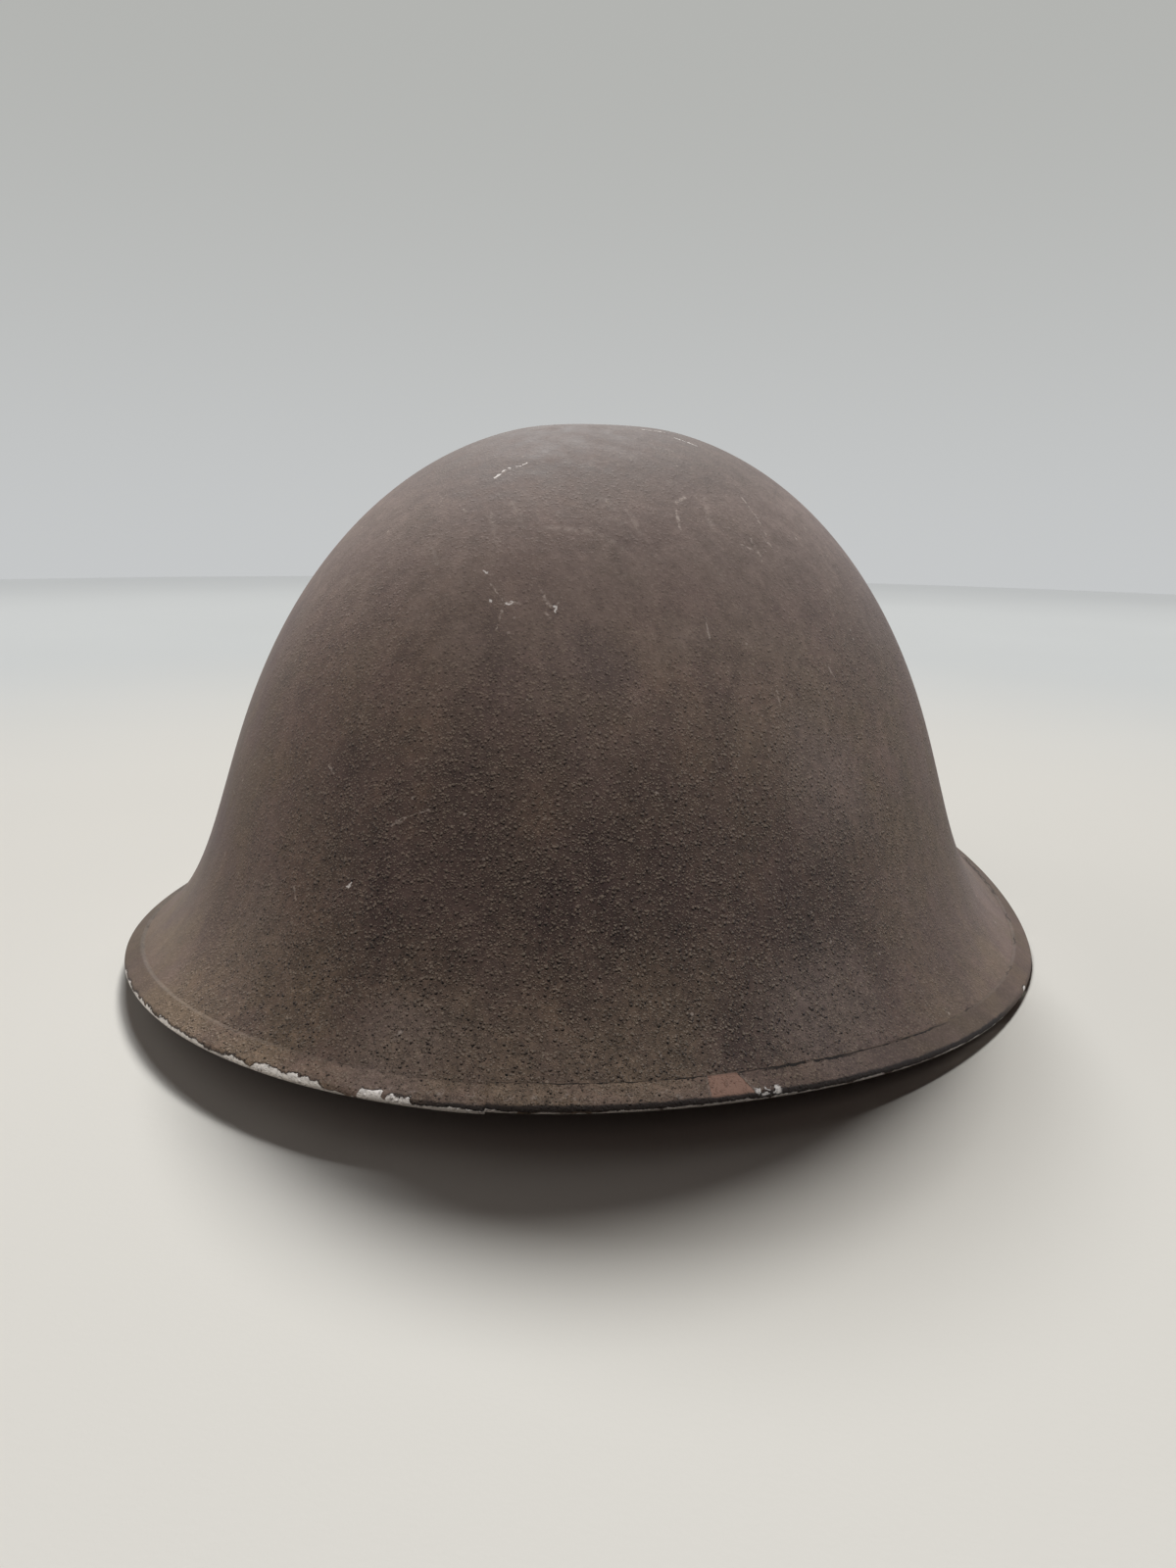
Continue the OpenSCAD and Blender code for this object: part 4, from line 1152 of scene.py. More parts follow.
    # A dark ragged border round the bare flakes low on the fold: soot and painted shade.
    tone = f.over(tone, SOOT_AND_FOLD_SHADE, f.step(past, 0.42, 0.05), f.step(reach, 0.25, 0.45),
                  f.step(up, -1.0, -0.6), 0.8)
    clump = f.product(span(33.0, 35.4, 0.2), f.window(f.plus(up, ragged), 0.5, 1.8, 0.1),
                      f.step(f.noise(800, 2.0), 0.50, 0.54), 0.75)
    bare = f.most(bare, clump)
    tone = f.blend(bare, tone, f.mottled(c.bare_steel, 0.74, f.noise(900), 0.35, 0.7))
    f.set(Metallic=f.product(bare, 0.25))
    f.bump(ball, 0.00038, sandy)
    f.bump(f.noise(300, 4.0, 0.6), 0.0003, 0.4)
    f.bump(f.rest(f.most(crack, f.product(bare, 0.5), f.product(patch, 0.5))), 0.0005, 0.9)
    return f.done(tone, f.step(bare, 0.0, 1.0, 0.72, 0.42))


def metal_finish(name, colour, stain, roughness=0.42):
    """Aged metal with stains, fine scratches and duller edges."""
    f = Finish(name, metallic=0.9)
    cloudy = f.noise(90, 5.0, 0.65)
    fine = f.noise(1.0, 4.0, 0.7, stretch=(900, 900, 240))
    spots = f.step(f.noise(330, 5.0, 0.75), 0.58, 0.68)
    tone = f.over(f.mottled(colour, 0.62, cloudy, 0.38, 0.72), stain, spots, 0.7)
    f.set(Metallic=f.minus(0.92, f.product(spots, 0.6)))
    f.bump(f.plus(cloudy, f.product(fine, 0.3)), 0.00015, 0.6)
    rough = f.step(fine, 0.3, 0.7, roughness - 0.08, roughness + 0.14)
    return f.done(tone, f.plus(rough, f.product(spots, 0.2)))


def oilcloth_finish(name, colour, thread, edges=(), pitch=3.4, gloss=0.42, dusty=0.3):
    """Coated cloth: the weave that shows through, creases, dust, and rows of stitches that run
    at the given millimetres across it."""
    f = Finish(name, Specular_IOR_Level=0.45)
    along, across = f.attribute("along"), f.attribute("across")
    cloudy = f.noise(45, 5.0, 0.6)
    tone = f.mottled(colour, 1.45, cloudy, 0.35, 0.7)
    worn = f.product(f.step(f.noise(240, 5.0, 0.7), 0.55, 0.68), dusty)
    tone = f.over(tone, CLOTH_DUST, worn)
    cracked = f.product(f.step(f.cells(120, feature="DISTANCE_TO_EDGE"), 0.05, 0.0),
                        f.step(cloudy, 0.45, 0.6))
    tone = f.over(tone, f.times(colour, 0.4), cracked, 0.45)
    yarn = 0.62
    relief = f.product(f.wave(along, yarn), f.wave(across, yarn), 0.12)
    if edges:
        row = f.most(*[f.window(across, e - 0.32, e + 0.32, 0.12) for e in edges])
        share = f.math("FRACT", f.math("DIVIDE", along, pitch))
        stitch = f.product(row, f.window(share, 0.12, 0.80, 0.08))
        sunk = f.most(*[f.window(across, e - 0.9, e + 0.9, 0.5) for e in edges])
        tone = f.over(tone, f.mottled(thread, 0.6, cloudy, 0.3, 0.7), stitch)
        relief = f.plus(relief, f.minus(f.product(stitch, 1.2), sunk))
    f.bump(relief, 0.00028, 0.8)
    f.bump(f.plus(f.noise(150, 4.0), f.product(cracked, -0.6)), 0.0005, 0.5)
    rough = f.step(cloudy, 0.3, 0.7, gloss - 0.05, gloss + 0.15)
    return f.done(tone, f.plus(rough, f.product(worn, 0.5)))


def fibre_finish(c):
    """Vulcanised fibre: layered, mottled, and polished along its edges."""
    f = Finish("liner_fibre", Specular_IOR_Level=0.42)
    flow = f.noise(1.0, 6.0, 0.65, stretch=(150, 150, 900))
    tone = f.mottled(c.fibre, 0.62, f.noise(32, 4.0), 0.35, 0.68)
    tone = f.times(tone, f.step(flow, 0.3, 0.7, 0.82, 1.16))
    tone = f.over(tone, f.times(c.thread, 0.8), f.step(f.noise(260, 5.0), 0.6, 0.68), 0.5)
    f.bump(flow, 0.00022, 0.6)
    return f.done(tone, f.step(flow, 0.3, 0.7, 0.42, 0.62))


def rubber_finish(c):
    """Moulded rubber, greyed by dust, with fine cracks."""
    f = Finish("buffer_rubber", Specular_IOR_Level=0.35)
    cloudy = f.noise(60, 5.0)
    cracks = f.product(f.step(f.cells(240, feature="DISTANCE_TO_EDGE"), 0.045, 0.0),
                       f.step(cloudy, 0.5, 0.62))
    tone = f.mottled(c.rubber, 1.9, cloudy, 0.35, 0.7)
    tone = f.over(tone, f.times(c.rubber, 0.3), cracks, 0.8)
    tone = f.over(tone, RUBBER_DUST, f.step(f.noise(700), 0.55, 0.75), 0.22)
    f.bump(f.minus(f.noise(500, 4.0), f.product(cracks, 1.2)), 0.00028, 0.7)
    return f.done(tone, f.step(cloudy, 0.3, 0.7, 0.7, 0.86))


def webbing_finish(c, half_width):
    """Khaki cotton webbing: ribs across it, a bound edge, grime and pale frayed fibres."""
    f = Finish("chinstrap_webbing", Specular_IOR_Level=0.2, Sheen_Weight=0.25,
               Sheen_Roughness=0.5)
    along, across = f.attribute("along"), f.attribute("across")
    rib = f.wave(along, 1.15)
    cord = f.wave(f.plus(across, f.product(f.math("SIGN", rib), 0.28)), 1.12)
    weave = f.plus(f.product(f.size(rib), 0.55), f.product(f.size(cord), 0.55))
    edge = f.step(f.size(across), half_width - 2.0, half_width - 1.5)
    weave = f.blend(edge, weave, f.size(f.wave(along, 1.6)))
    cloudy, fluff = f.noise(40, 5.0, 0.65), f.noise(1500, 3.0, 0.8)
    tone = f.mottled(c.webbing, 0.62, cloudy, 0.35, 0.7)
    tone = f.times(tone, f.step(weave, 0.0, 1.0, 0.55, 1.12))
    tone = f.times(tone, f.step(fluff, 0.25, 0.75, 0.84, 1.16))
    tone = f.over(tone, WEB_GRIME, f.step(f.noise(85, 6.0, 0.7), 0.54, 0.70), 0.55)
    f.bump(weave, 0.00045, 0.9)
    f.bump(fluff, 0.00012, 0.5)
    return f.done(tone, f.step(cloudy, 0.3, 0.7, 0.8, 0.92))


def thread_finish(c):
    """Waxed thread, twisted and soiled."""
    f = Finish("stitch_thread", Specular_IOR_Level=0.3)
    twist = f.noise(1.0, stretch=(2600, 2600, 2600))
    tone = f.mottled(c.thread, 0.55, f.noise(80, 4.0), 0.35, 0.7)
    f.bump(twist, 0.00015, 0.6)
    return f.done(f.times(tone, f.step(twist, 0.3, 0.7, 0.8, 1.15)),
                  f.step(twist, 0.3, 0.7, 0.62, 0.8))


def floor_finish(c):
    """Pale paper, warm in front and cooler farther off."""
    f = Finish("pale_floor", Specular_IOR_Level=0.0)
    far = f.vector("LENGTH", f.place, out="Value")
    tone = f.blend(f.step(far, 0.2, 0.75), c.floor, MIDDLE_FLOOR)
    tone = f.blend(f.step(far, 1.15, 1.78), tone, FAR_FLOOR)
    f.bump(f.noise(900, 2.0), 0.0001, 0.2)
    return f.done(f.times(tone, f.step(f.noise(3.0, 2.0), 0.2, 0.8, 0.985, 1.015)), 0.9)


def finish_named(name, make, *arguments):
    """A material made once and used again by name."""
    found = bpy.data.materials.get(name)
    return found if found else make(*arguments)


def brass_of(c):
    return finish_named("snap_brass", metal_finish, "snap_brass", c.brass, BRASS_STAIN)


def zinc_of(c):
    return finish_named("hook_zinc", metal_finish, "hook_zinc", c.zinc, c.rust, 0.48)


def thread_of(c):
    return finish_named("stitch_thread", thread_finish, c)


class HELMET_OT_press_shell(bpy.types.Operator):
    """Press the steel shell with its flared brim and flat crown"""

    bl_idname = "helmet.press_shell"
    bl_label = "Press Shell"

    def execute(self, context):
        bowl, c = Bowl(context.scene), context.scene.helmet_colours
        columns, rows, hole = 288, 100, 2.15 * MM
        turn = np.linspace(0, 2 * math.pi, columns, endpoint=False)
        shoulder = bowl.sizes.shoulder_power
        last = np.arccos(np.sqrt((hole / bowl.plan(turn)) ** shoulder))
        lean = last * (np.linspace(0, 1, rows + 1)[:, None]) ** 1.12
        shares = np.sin(lean) ** (2 / bowl.steepness(turn))
        turns = np.broadcast_to(turn, shares.shape)
        points = bowl.at(turns, shares)
        outward = bowl.outward(turns, shares)
        dents = rough_noise(points.reshape(-1, 3), 26, 4.0).reshape(shares.shape)
        clear = np.clip((shares - 0.05) / 0.06, 0, 1) * np.clip((0.985 - shares) / 0.03, 0, 1)
        points = points + outward * (dents * clear * bowl.sizes.dents)[..., None]
        points[..., 2] -= bowl.sagged(turns) * np.exp(-shares * bowl.sizes.crown_height / (9 * MM))
        shell = draw_skin("steel_shell", points, ends="open")
        apply_modifier(shell, "SOLIDIFY", thickness=bowl.sizes.thickness, offset=-1,
                       use_even_offset=True)
        finish(shell, "helmet", "shell_paint", shell_finish(c, bowl), inner_finish(c),
               replaces=["shell"], smoothed=50)
        for face in shell.data.polygons:
            away = face.center + Vector((0, 0, 0.05))
            face.material_index = int(face.normal.dot(away) < 0)
        return {"FINISHED"}


class HELMET_OT_fold_rim(bpy.types.Operator):
    """Fold the rim strip over the edge of the steel, fill its top edge with paint and leave the
    step at its joint"""

    bl_idname = "helmet.fold_rim"
    bl_label = "Fold Rim Strip"

    def execute(self, context):
        bowl, c = Bowl(context.scene), context.scene.helmet_colours
        rim, steel = bowl.rim, bowl.sizes.thickness
        part_round = np.linspace(0, 1, STRIP_STEPS + 1)
        crowded = part_round - 0.86 * np.sin(2 * math.pi * part_round) / (2 * math.pi)
        turn = rim.joint_turn - math.pi / 2 + 2 * math.pi * crowded
        outward = bowl.outward(turn, np.zeros_like(turn))
        edge_line = bowl.at(turn, np.zeros_like(turn))
        down = edge_line - bowl.at(turn, np.full_like(turn, 1e-3))
        down /= np.linalg.norm(down, axis=1, keepdims=True)
        middle = edge_line - steel / 2 * outward
        wobble = rough_noise(edge_line, 34, 9.0) * 0.16 * MM
        crimp = rough_noise(edge_line, 90, 2.0) * 0.05 * MM
        leg_width = rim.leg - rim.fillet
        share_of = bowl.leg_share() / rim.leg
        outer, inner = rim.clearance + rim.thickness, rim.clearance
        columns, across = [], []

        def leg_point(width, off, side):
            share = np.full_like(turn, share_of * width) * (1 + wobble / rim.leg)
            distance = off if side > 0 else -steel - off
            columns.append(bowl.off(turn, share, np.full_like(turn, distance) + side * crimp))
            across.append(side * (width / MM + FOLD_REACH))

        def fold_point(angle, off):
            a = math.radians(angle)
            r = steel / 2 + off
            columns.append(middle + r * (math.cos(a) * down + math.sin(a) * outward))
            across.append(angle / 90 * FOLD_REACH)

        for part in np.linspace(1, 0, 10)[:-1]:
            leg_point(rim.leg * part, outer, -1)
        for angle in np.linspace(-90, 90, 17):
            fold_point(angle, outer)
        for part in np.linspace(0, 0.86, 13)[1:]:
            leg_point(leg_width * part, outer, 1)
        for part, off in ((0.93, 0.985), (0.975, 0.92), (1.0, 0.80)):
            leg_point(leg_width * part, outer * off, 1)
        for part, off in ((0.22, 0.56), (0.45, 0.32), (0.7, 0.13), (1.0, 0.0)):
            leg_point(leg_width + rim.fillet * part, outer * off, 1)
        leg_point(leg_width + rim.fillet, -0.12 * MM, 1)
        for part in np.linspace(0.97, 0, 6):
            leg_point(leg_width * part, inner, 1)
        for angle in np.linspace(90, -90, 7)[1:-1]:
            fold_point(angle, inner)
        for part in np.linspace(0, 0.97, 6):
            leg_point(rim.leg * part, inner, -1)
        while len(columns) % 4:
            leg_point(rim.leg * (1.0 - 0.004 * (len(columns) % 4)), (inner + outer) / 2, -1)
        rows = np.stack(columns, 1)
        across = np.array(across)
        degrees = np.degrees((turn + math.pi / 2 + math.pi) % (2 * math.pi) - math.pi)
        from_joint = np.degrees(turn - turn[0])
        from_joint = np.minimum(from_joint, 360 - from_joint)
        before = np.arange(STRIP_STEPS + 1) > STRIP_STEPS / 2
        hang = bowl.sagged(turn) + np.where(before, rim.step * np.exp(-((from_joint / 7) ** 2)), 0)
        hang[[0, -1]] = hang[[0, -1]].mean()
        rows[..., 2] -= hang[:, None]
        low = np.clip(1 - np.abs(across) / 2.5, 0, 1)
        swollen = np.where(before, 0.35 * rim.step * np.exp(-((from_joint / 5) ** 2)), 0)
        swollen[[0, -1]] = -0.22 * MM
        bulge = swollen[:, None] * np.where(across > -0.5, 0.35 + 0.65 * low, 0)
        rows += outward[:, None, :] * bulge[..., None]
        rows[..., 2] = np.maximum(rows[..., 2], 0)
        strip = draw_skin("rim_strip", rows, ends="joined", along=degrees, across=across)
        finish(strip, "helmet", "rim_paint", rim_finish(c), replaces=["rim_band"], smoothed=60)
        return {"FINISHED"}


class HELMET_OT_set_crown_fastener(bpy.types.Operator):
    """Finish the crown rivet, its washer and the liner's stud"""

    bl_idname = "helmet.set_crown_fastener"
    bl_label = "Set Crown Fastener"

    def execute(self, context):
        c = context.scene.helmet_colours
        paint_node("crown_rivet", bpy.data.materials["faded_shell_paint"])
        paint_node("crown_washer", zinc_of(c))
        paint_node("liner_stud", brass_of(c))
        return {"FINISHED"}


class HELMET_OT_weld_lugs(bpy.types.Operator):
    """Ease the edges of the two lugs and lay their weld beads"""

    bl_idname = "helmet.weld_lugs"
    bl_label = "Weld Lugs"

    def execute(self, context):
        chin = Chinstrap(context.scene)
        s, bowl = chin.sizes, chin.bowl
        paint = bpy.data.materials["shell_inner_paint"]
        radius = float(bowl.wall_radius(0.0, chin.shelf))
        reach = s.foot_width / 2 / radius
        middle = math.asin(s.pivot_back / radius)
        beads = (((-1, 0.12), (-1, 1.0)), ((1, 0.12), (1, 1.0)), ((-0.8, 1.03), (0.8, 1.03)))
        t = np.linspace(0, 1, 49)
        ends = np.clip(np.minimum(t, 1 - t) * 14, 0.12, 1) ** 0.5
        for side, node in ((1, "lug_left"), (-1, "lug_right")):
            lug = softened(node, node + "_plate", 0.35 * MM)
            finish(lug, "helmet", "lug_paint", paint, replaces=[node])
            for number, (a, b) in enumerate(beads):
                across = a[0] + (b[0] - a[0]) * t
                height = chin.shelf + s.foot_height * (a[1] + (b[1] - a[1]) * t)
                turn = middle + across * reach * 1.01
                depth = np.full_like(t, -bowl.sizes.thickness - 0.7 * MM)
                path = bowl.off(turn, bowl.share_at(turn, height), depth)
                path[:, 0] *= side
                uneven = rough_noise(path, 900, number)
                ripple = 0.95 + 0.16 * np.abs(np.sin(t * 34)) + 0.05 * uneven
                rows = wire_rows(path, ripple * ends * MM, 12)
                bead = draw_skin(f"{node}_weld_{number + 1}", rows)
                finish(bead, "helmet", "lug_paint", paint, smoothed=60)
        return {"FINISHED"}


class HELMET_OT_cut_band(bpy.types.Operator):
    """Cut the fibre band of the liner"""

    bl_idname = "helmet.cut_band"
    bl_label = "Cut Fibre Band"

    def execute(self, context):
        liner, c = Liner(context.scene), context.scene.helmet_colours
        s = liner.sizes
        loop = round_loop(s.band_height, s.band_thickness, 0.5 * MM, flats=8, corner=2)
        turn = np.linspace(0, 2 * math.pi, 289)
        middle = (liner.band_inside + liner.band_outside) / 2
        rows = []
        for t in turn:
            size = middle[:, None] + loop[:, 0]
            wave = 0.12 * MM * math.sin(5 * t + 0.6)
            rows.append(np.stack([size[0] * math.cos(t), size[1] * math.sin(t),
                                  s.band_foot + s.band_height / 2 + loop[:, 1] + wave], 1))
        band = draw_skin("fibre_band", rows, ends="joined")
        finish(band, "liner", "fibre", fibre_finish(c), replaces=["liner_band"], smoothed=50)
        return {"FINISHED"}


class HELMET_OT_lay_straps(bpy.types.Operator):
    """Lay the two cradle straps over the fibre band"""

    bl_idname = "helmet.lay_straps"
    bl_label = "Lay Cradle Straps"

    def execute(self, context):
        liner, c = Liner(context.scene), context.scene.helmet_colours
        s, touch = liner.sizes, 0.1 * MM
        cloth = oilcloth_finish("cradle_oilcloth", c.oilcloth, c.thread,
                                edges=(-13.2, 13.2), pitch=s.stitch_pitch / MM)
        loop = round_loop(s.strap_width, s.strap_thickness, 0.6 * MM, flats=16, corner=3)
        share = (loop[:, 0] / s.strap_thickness) + 0.5
        x = loop[:, 1]
        tab = np.linspace(1, 0, 9)[:-1]
        arch = np.linspace(-90, 90, 105)
        stations = [(-90, -q) for q in tab] + [(a, 0) for a in arch] + [(90, -q) for q in tab[::-1]]
        plans = (("long_strap", liner.band_outside, liner.long_rise, False),
                 ("cross_strap", liner.band_outside[::-1], liner.cross_rise, True))
        for node, near, rise, turned in plans:
            near = near + touch
            rows = []
            for a, drop in stations:
                size = near[:, None] + share * s.strap_thickness
                y = size[1] * math.sin(math.radians(a)) * np.sqrt(1 - (x / size[0]) ** 2)
                z = liner.cradle(x, y, size, rise + share * s.strap_thickness)
                z = z + drop * s.tab_length
                rows.append(np.stack([-y, x, z] if turned else [x, y, z], 1))
            rows = np.array(rows)
            steps = np.linalg.norm(np.diff(rows.mean(1), axis=0), axis=1)
            run = np.concatenate([[0], np.cumsum(steps)])
            plane = rows[..., :2].reshape(-1, 2)
            uneven = rough_noise(np.c_[plane, np.zeros(len(plane))], 60, 1.0)
            above = np.clip((rows[..., 2] - liner.band_top - 6 * MM) / (12 * MM), 0, 1)
            rows[..., 2] += uneven.reshape(rows.shape[:2]) * above * 0.2 * MM
            at = np.linspace(0, run[-1], STRAP_STEPS + 1)
            even_rows = np.empty((STRAP_STEPS + 1, rows.shape[1], 3))
            for k in range(rows.shape[1]):
                for i in range(3):
                    even_rows[:, k, i] = np.interp(at, run, rows[:, k, i])
            even_rows[0], even_rows[-1] = rows[0], rows[-1]
            piece = draw_skin(f"{node}_cloth", even_rows, along=at / MM, across=x / MM)
            finish(piece, "liner", "oilcloth", cloth, replaces=[node], smoothed=60)
        return {"FINISHED"}


class HELMET_OT_set_snaps(bpy.types.Operator):
    """Finish the snap socket, its plate and all the rivets"""

    bl_idname = "helmet.set_snaps"
    bl_label = "Set Snaps and Rivets"

    def execute(self, context):
        c = context.scene.helmet_colours
        for node in ("socket_plate", "strap_rivets", "buffer_rivets"):
            paint_node(node, brass_of(c))
        socket = softened("liner_socket", "snap_socket", 0.25 * MM)
        finish(socket, "liner", "brass", brass_of(c), replaces=["liner_socket"])
        return {"FINISHED"}


class HELMET_OT_mould_buffers(bpy.types.Operator):
    """Mould the four rubber buffers"""

    bl_idname = "helmet.mould_buffers"
    bl_label = "Mould Buffers"

    def execute(self, context):
        rubber = rubber_finish(context.scene.helmet_colours)
        for node in ("buffer_front_left", "buffer_front_right",
                     "buffer_rear_left", "buffer_rear_right"):
            block = softened(node, node + "_block", 0.9 * MM, segments=4, flat=0.5)
            finish(block, "liner", "rubber", rubber, replaces=[node])
        return {"FINISHED"}


class HELMET_OT_sew_sweatband(bpy.types.Operator):
    """Sew the padded sweatband round the fibre band"""

    bl_idname = "helmet.sew_sweatband"
    bl_label = "Sew Sweatband"

    def execute(self, context):
        liner, c = Liner(context.scene), context.scene.helmet_colours
        s, seat = liner.sizes, 0.15 * MM
        low = s.band_foot - seat - s.fold_thickness
        high = liner.band_top + 2 * MM
        full = s.sweat_thickness
        out = full + s.band_space + s.band_thickness + seat
        tall, fold = high - low, s.band_foot + s.fold_height
        corners = [(full / 2, low + 0.2 * MM), (full / 4, low + 0.08 * tall),
                   (0, low + 0.3 * tall), (0, low + 0.7 * tall), (full / 4, low + 0.92 * tall),
                   (full / 2, high - 0.3 * MM), (full * 0.8, high),
                   (full - 0.05 * MM, high - 0.6 * MM), (full, high - 2 * MM),
                   (full, s.band_foot + 4 * MM), (full, s.band_foot - seat),
                   (out, s.band_foot - seat),
                   (out, fold), (out + s.fold_thickness / 2, fold + 0.2 * MM),
                   (out + s.fold_thickness, fold - 0.4 * MM),
                   (out + s.fold_thickness, low + s.fold_thickness),
                   (out + s.fold_thickness * 0.6, low + 0.1 * MM), (out - 0.6 * MM, low),
                   (full, low)]
        loop = eased(np.array(corners), 2, closed=True)
        loop = even(np.vstack([loop, loop[:1]]), 72)[0][:-1]
        turn = np.linspace(0, 2 * math.pi, 361)
        plan = np.c_[liner.head[0] * np.cos(turn), liner.head[1] * np.sin(turn)]
        run = np.cumsum(np.r_[0, np.hypot(*np.diff(plan, axis=0).T)])
        rows = []
        inside = np.clip(1 - loop[:, 0] / (0.6 * full), 0, 1)
        share = (loop[:, 1] - low) / tall
        for t, r in zip(turn, run):
            pucker = math.sin(r / (s.stitch_pitch * 2.2) * 2 * math.pi) * 0.10 * MM
            soft = 0.35 * MM * noise.noise(Vector((math.cos(t) * 5, math.sin(t) * 5, 3.3)))
            middle = np.sin(np.pi * np.clip(share, 0, 1))
            off = loop[:, 0] + inside * (pucker * np.abs(2 * share - 1) ** 2 + soft * middle)
            rows.append(np.stack([(liner.head[0] + off) * math.cos(t),
                                  (liner.head[1] + off) * math.sin(t), loop[:, 1]], 1))
        band = draw_skin("sweatband_cloth", rows, ends="joined",
                         along=run / MM, across=(loop[:, 1] - low) / MM)
        leather = oilcloth_finish(
            "sweat_leathercloth", c.sweat_leather, c.thread, edges=(3.4, tall / MM - 3.2),
            pitch=s.stitch_pitch / MM, gloss=0.5, dusty=0.22,
        )
        finish(band, "liner", "sweat_cloth", leather, replaces=["sweatband"], smoothed=70)
        return {"FINISHED"}


def swell(pad, pressure, most, frames=20):
    """Blows a pad up as cloth, lets no point go further than most, and keeps the result."""
    rest = points_of(pad)
    take_up(pad)
    cloth = pad.modifiers.new("Cloth", "CLOTH")
    cloth.settings.use_pressure = True
    cloth.settings.uniform_pressure_force = pressure
    cloth.settings.effector_weights.gravity = 0
    cloth.settings.quality = 6
    cloth.point_cache.frame_start = 1
    cloth.point_cache.frame_end = frames
    scene = bpy.context.scene
    for number in range(1, frames + 1):
        scene.frame_set(number)
    graph = bpy.context.evaluated_depsgraph_get()
    blown = pad.evaluated_get(graph)
    co = np.zeros(len(blown.data.vertices) * 3)
    blown.data.vertices.foreach_get("co", co)
    move = co.reshape(-1, 3) - rest
    far = np.linalg.norm(move, axis=1, keepdims=True)
    move *= np.minimum(1, most / np.maximum(far, 1e-9))
    pad.modifiers.remove(cloth)
    scene.frame_set(1)
    set_points(pad, rest + move)


class HELMET_OT_fill_crown_pad(bpy.types.Operator):
    """Fill the four-armed crown pad and sew its welt"""

    bl_idname = "helmet.fill_crown_pad"
    bl_label = "Fill Crown Pad"

    def execute(self, context):
        liner, c = Liner(context.scene), context.scene.helmet_colours
        s = liner.sizes
        pad = copied("crown_pad", "crown_pad_cushion")
        bpy.ops.transform.shrink_fatten(value=-0.9 * MM)
        leave()
        apply_modifier(pad, "REMESH", mode="VOXEL", voxel_size=2.0 * MM, adaptivity=0)
        apply_modifier(pad, "SMOOTH", factor=0.5, iterations=4)
        swell(pad, 4.0, 1.3 * MM)
        apply_modifier(pad, "SUBSURF", levels=1, render_levels=1)
        low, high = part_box("crown_pad")
        co = points_of(pad)
        size = liner.band_outside
        socket = 1.6 * MM
        roof = liner.cradle(co[:, 0], co[:, 1], size, liner.long_rise) - socket
        co[:, 2] = np.minimum(co[:, 2], roof - 0.05 * MM)
        co[:, 2] = np.clip(co[:, 2], low[2] - 0.5 * MM, high[2])
        set_points(pad, co)
        mark_points(pad, "along", co[:, 0] / MM)
        mark_points(pad, "across", co[:, 1] / MM)
        take_up(pad)
        bpy.ops.object.shade_smooth()
        cloth = oilcloth_finish("pad_leathercloth", c.oilcloth, c.thread, gloss=0.46, dusty=0.35)
        finish(pad, "liner", "pad_rubber", cloth, replaces=["crown_pad"])
        turn = np.linspace(0, 2 * math.pi, 192, endpoint=False)
        radius = s.pad_radius + s.pad_arm * np.cos(4 * turn) + 0.2 * MM
        x, y = radius * np.cos(turn), radius * np.sin(turn)
        edge = s.pad_thickness / 5
        z = liner.cradle(x, y, size, liner.long_rise) - socket - 1.0 * MM - edge * 1.5
        path = np.stack([x, y, z], 1)
        swing = 0.8 + 0.05 * np.sin(turn * 120)
        rows = wire_rows(path, swing * MM, 10, closed=True)
        welt = draw_skin("crown_pad_welt", rows, ends="joined")
        finish(welt, "liner", "pad_rubber", cloth, smoothed=60)
        return {"FINISHED"}


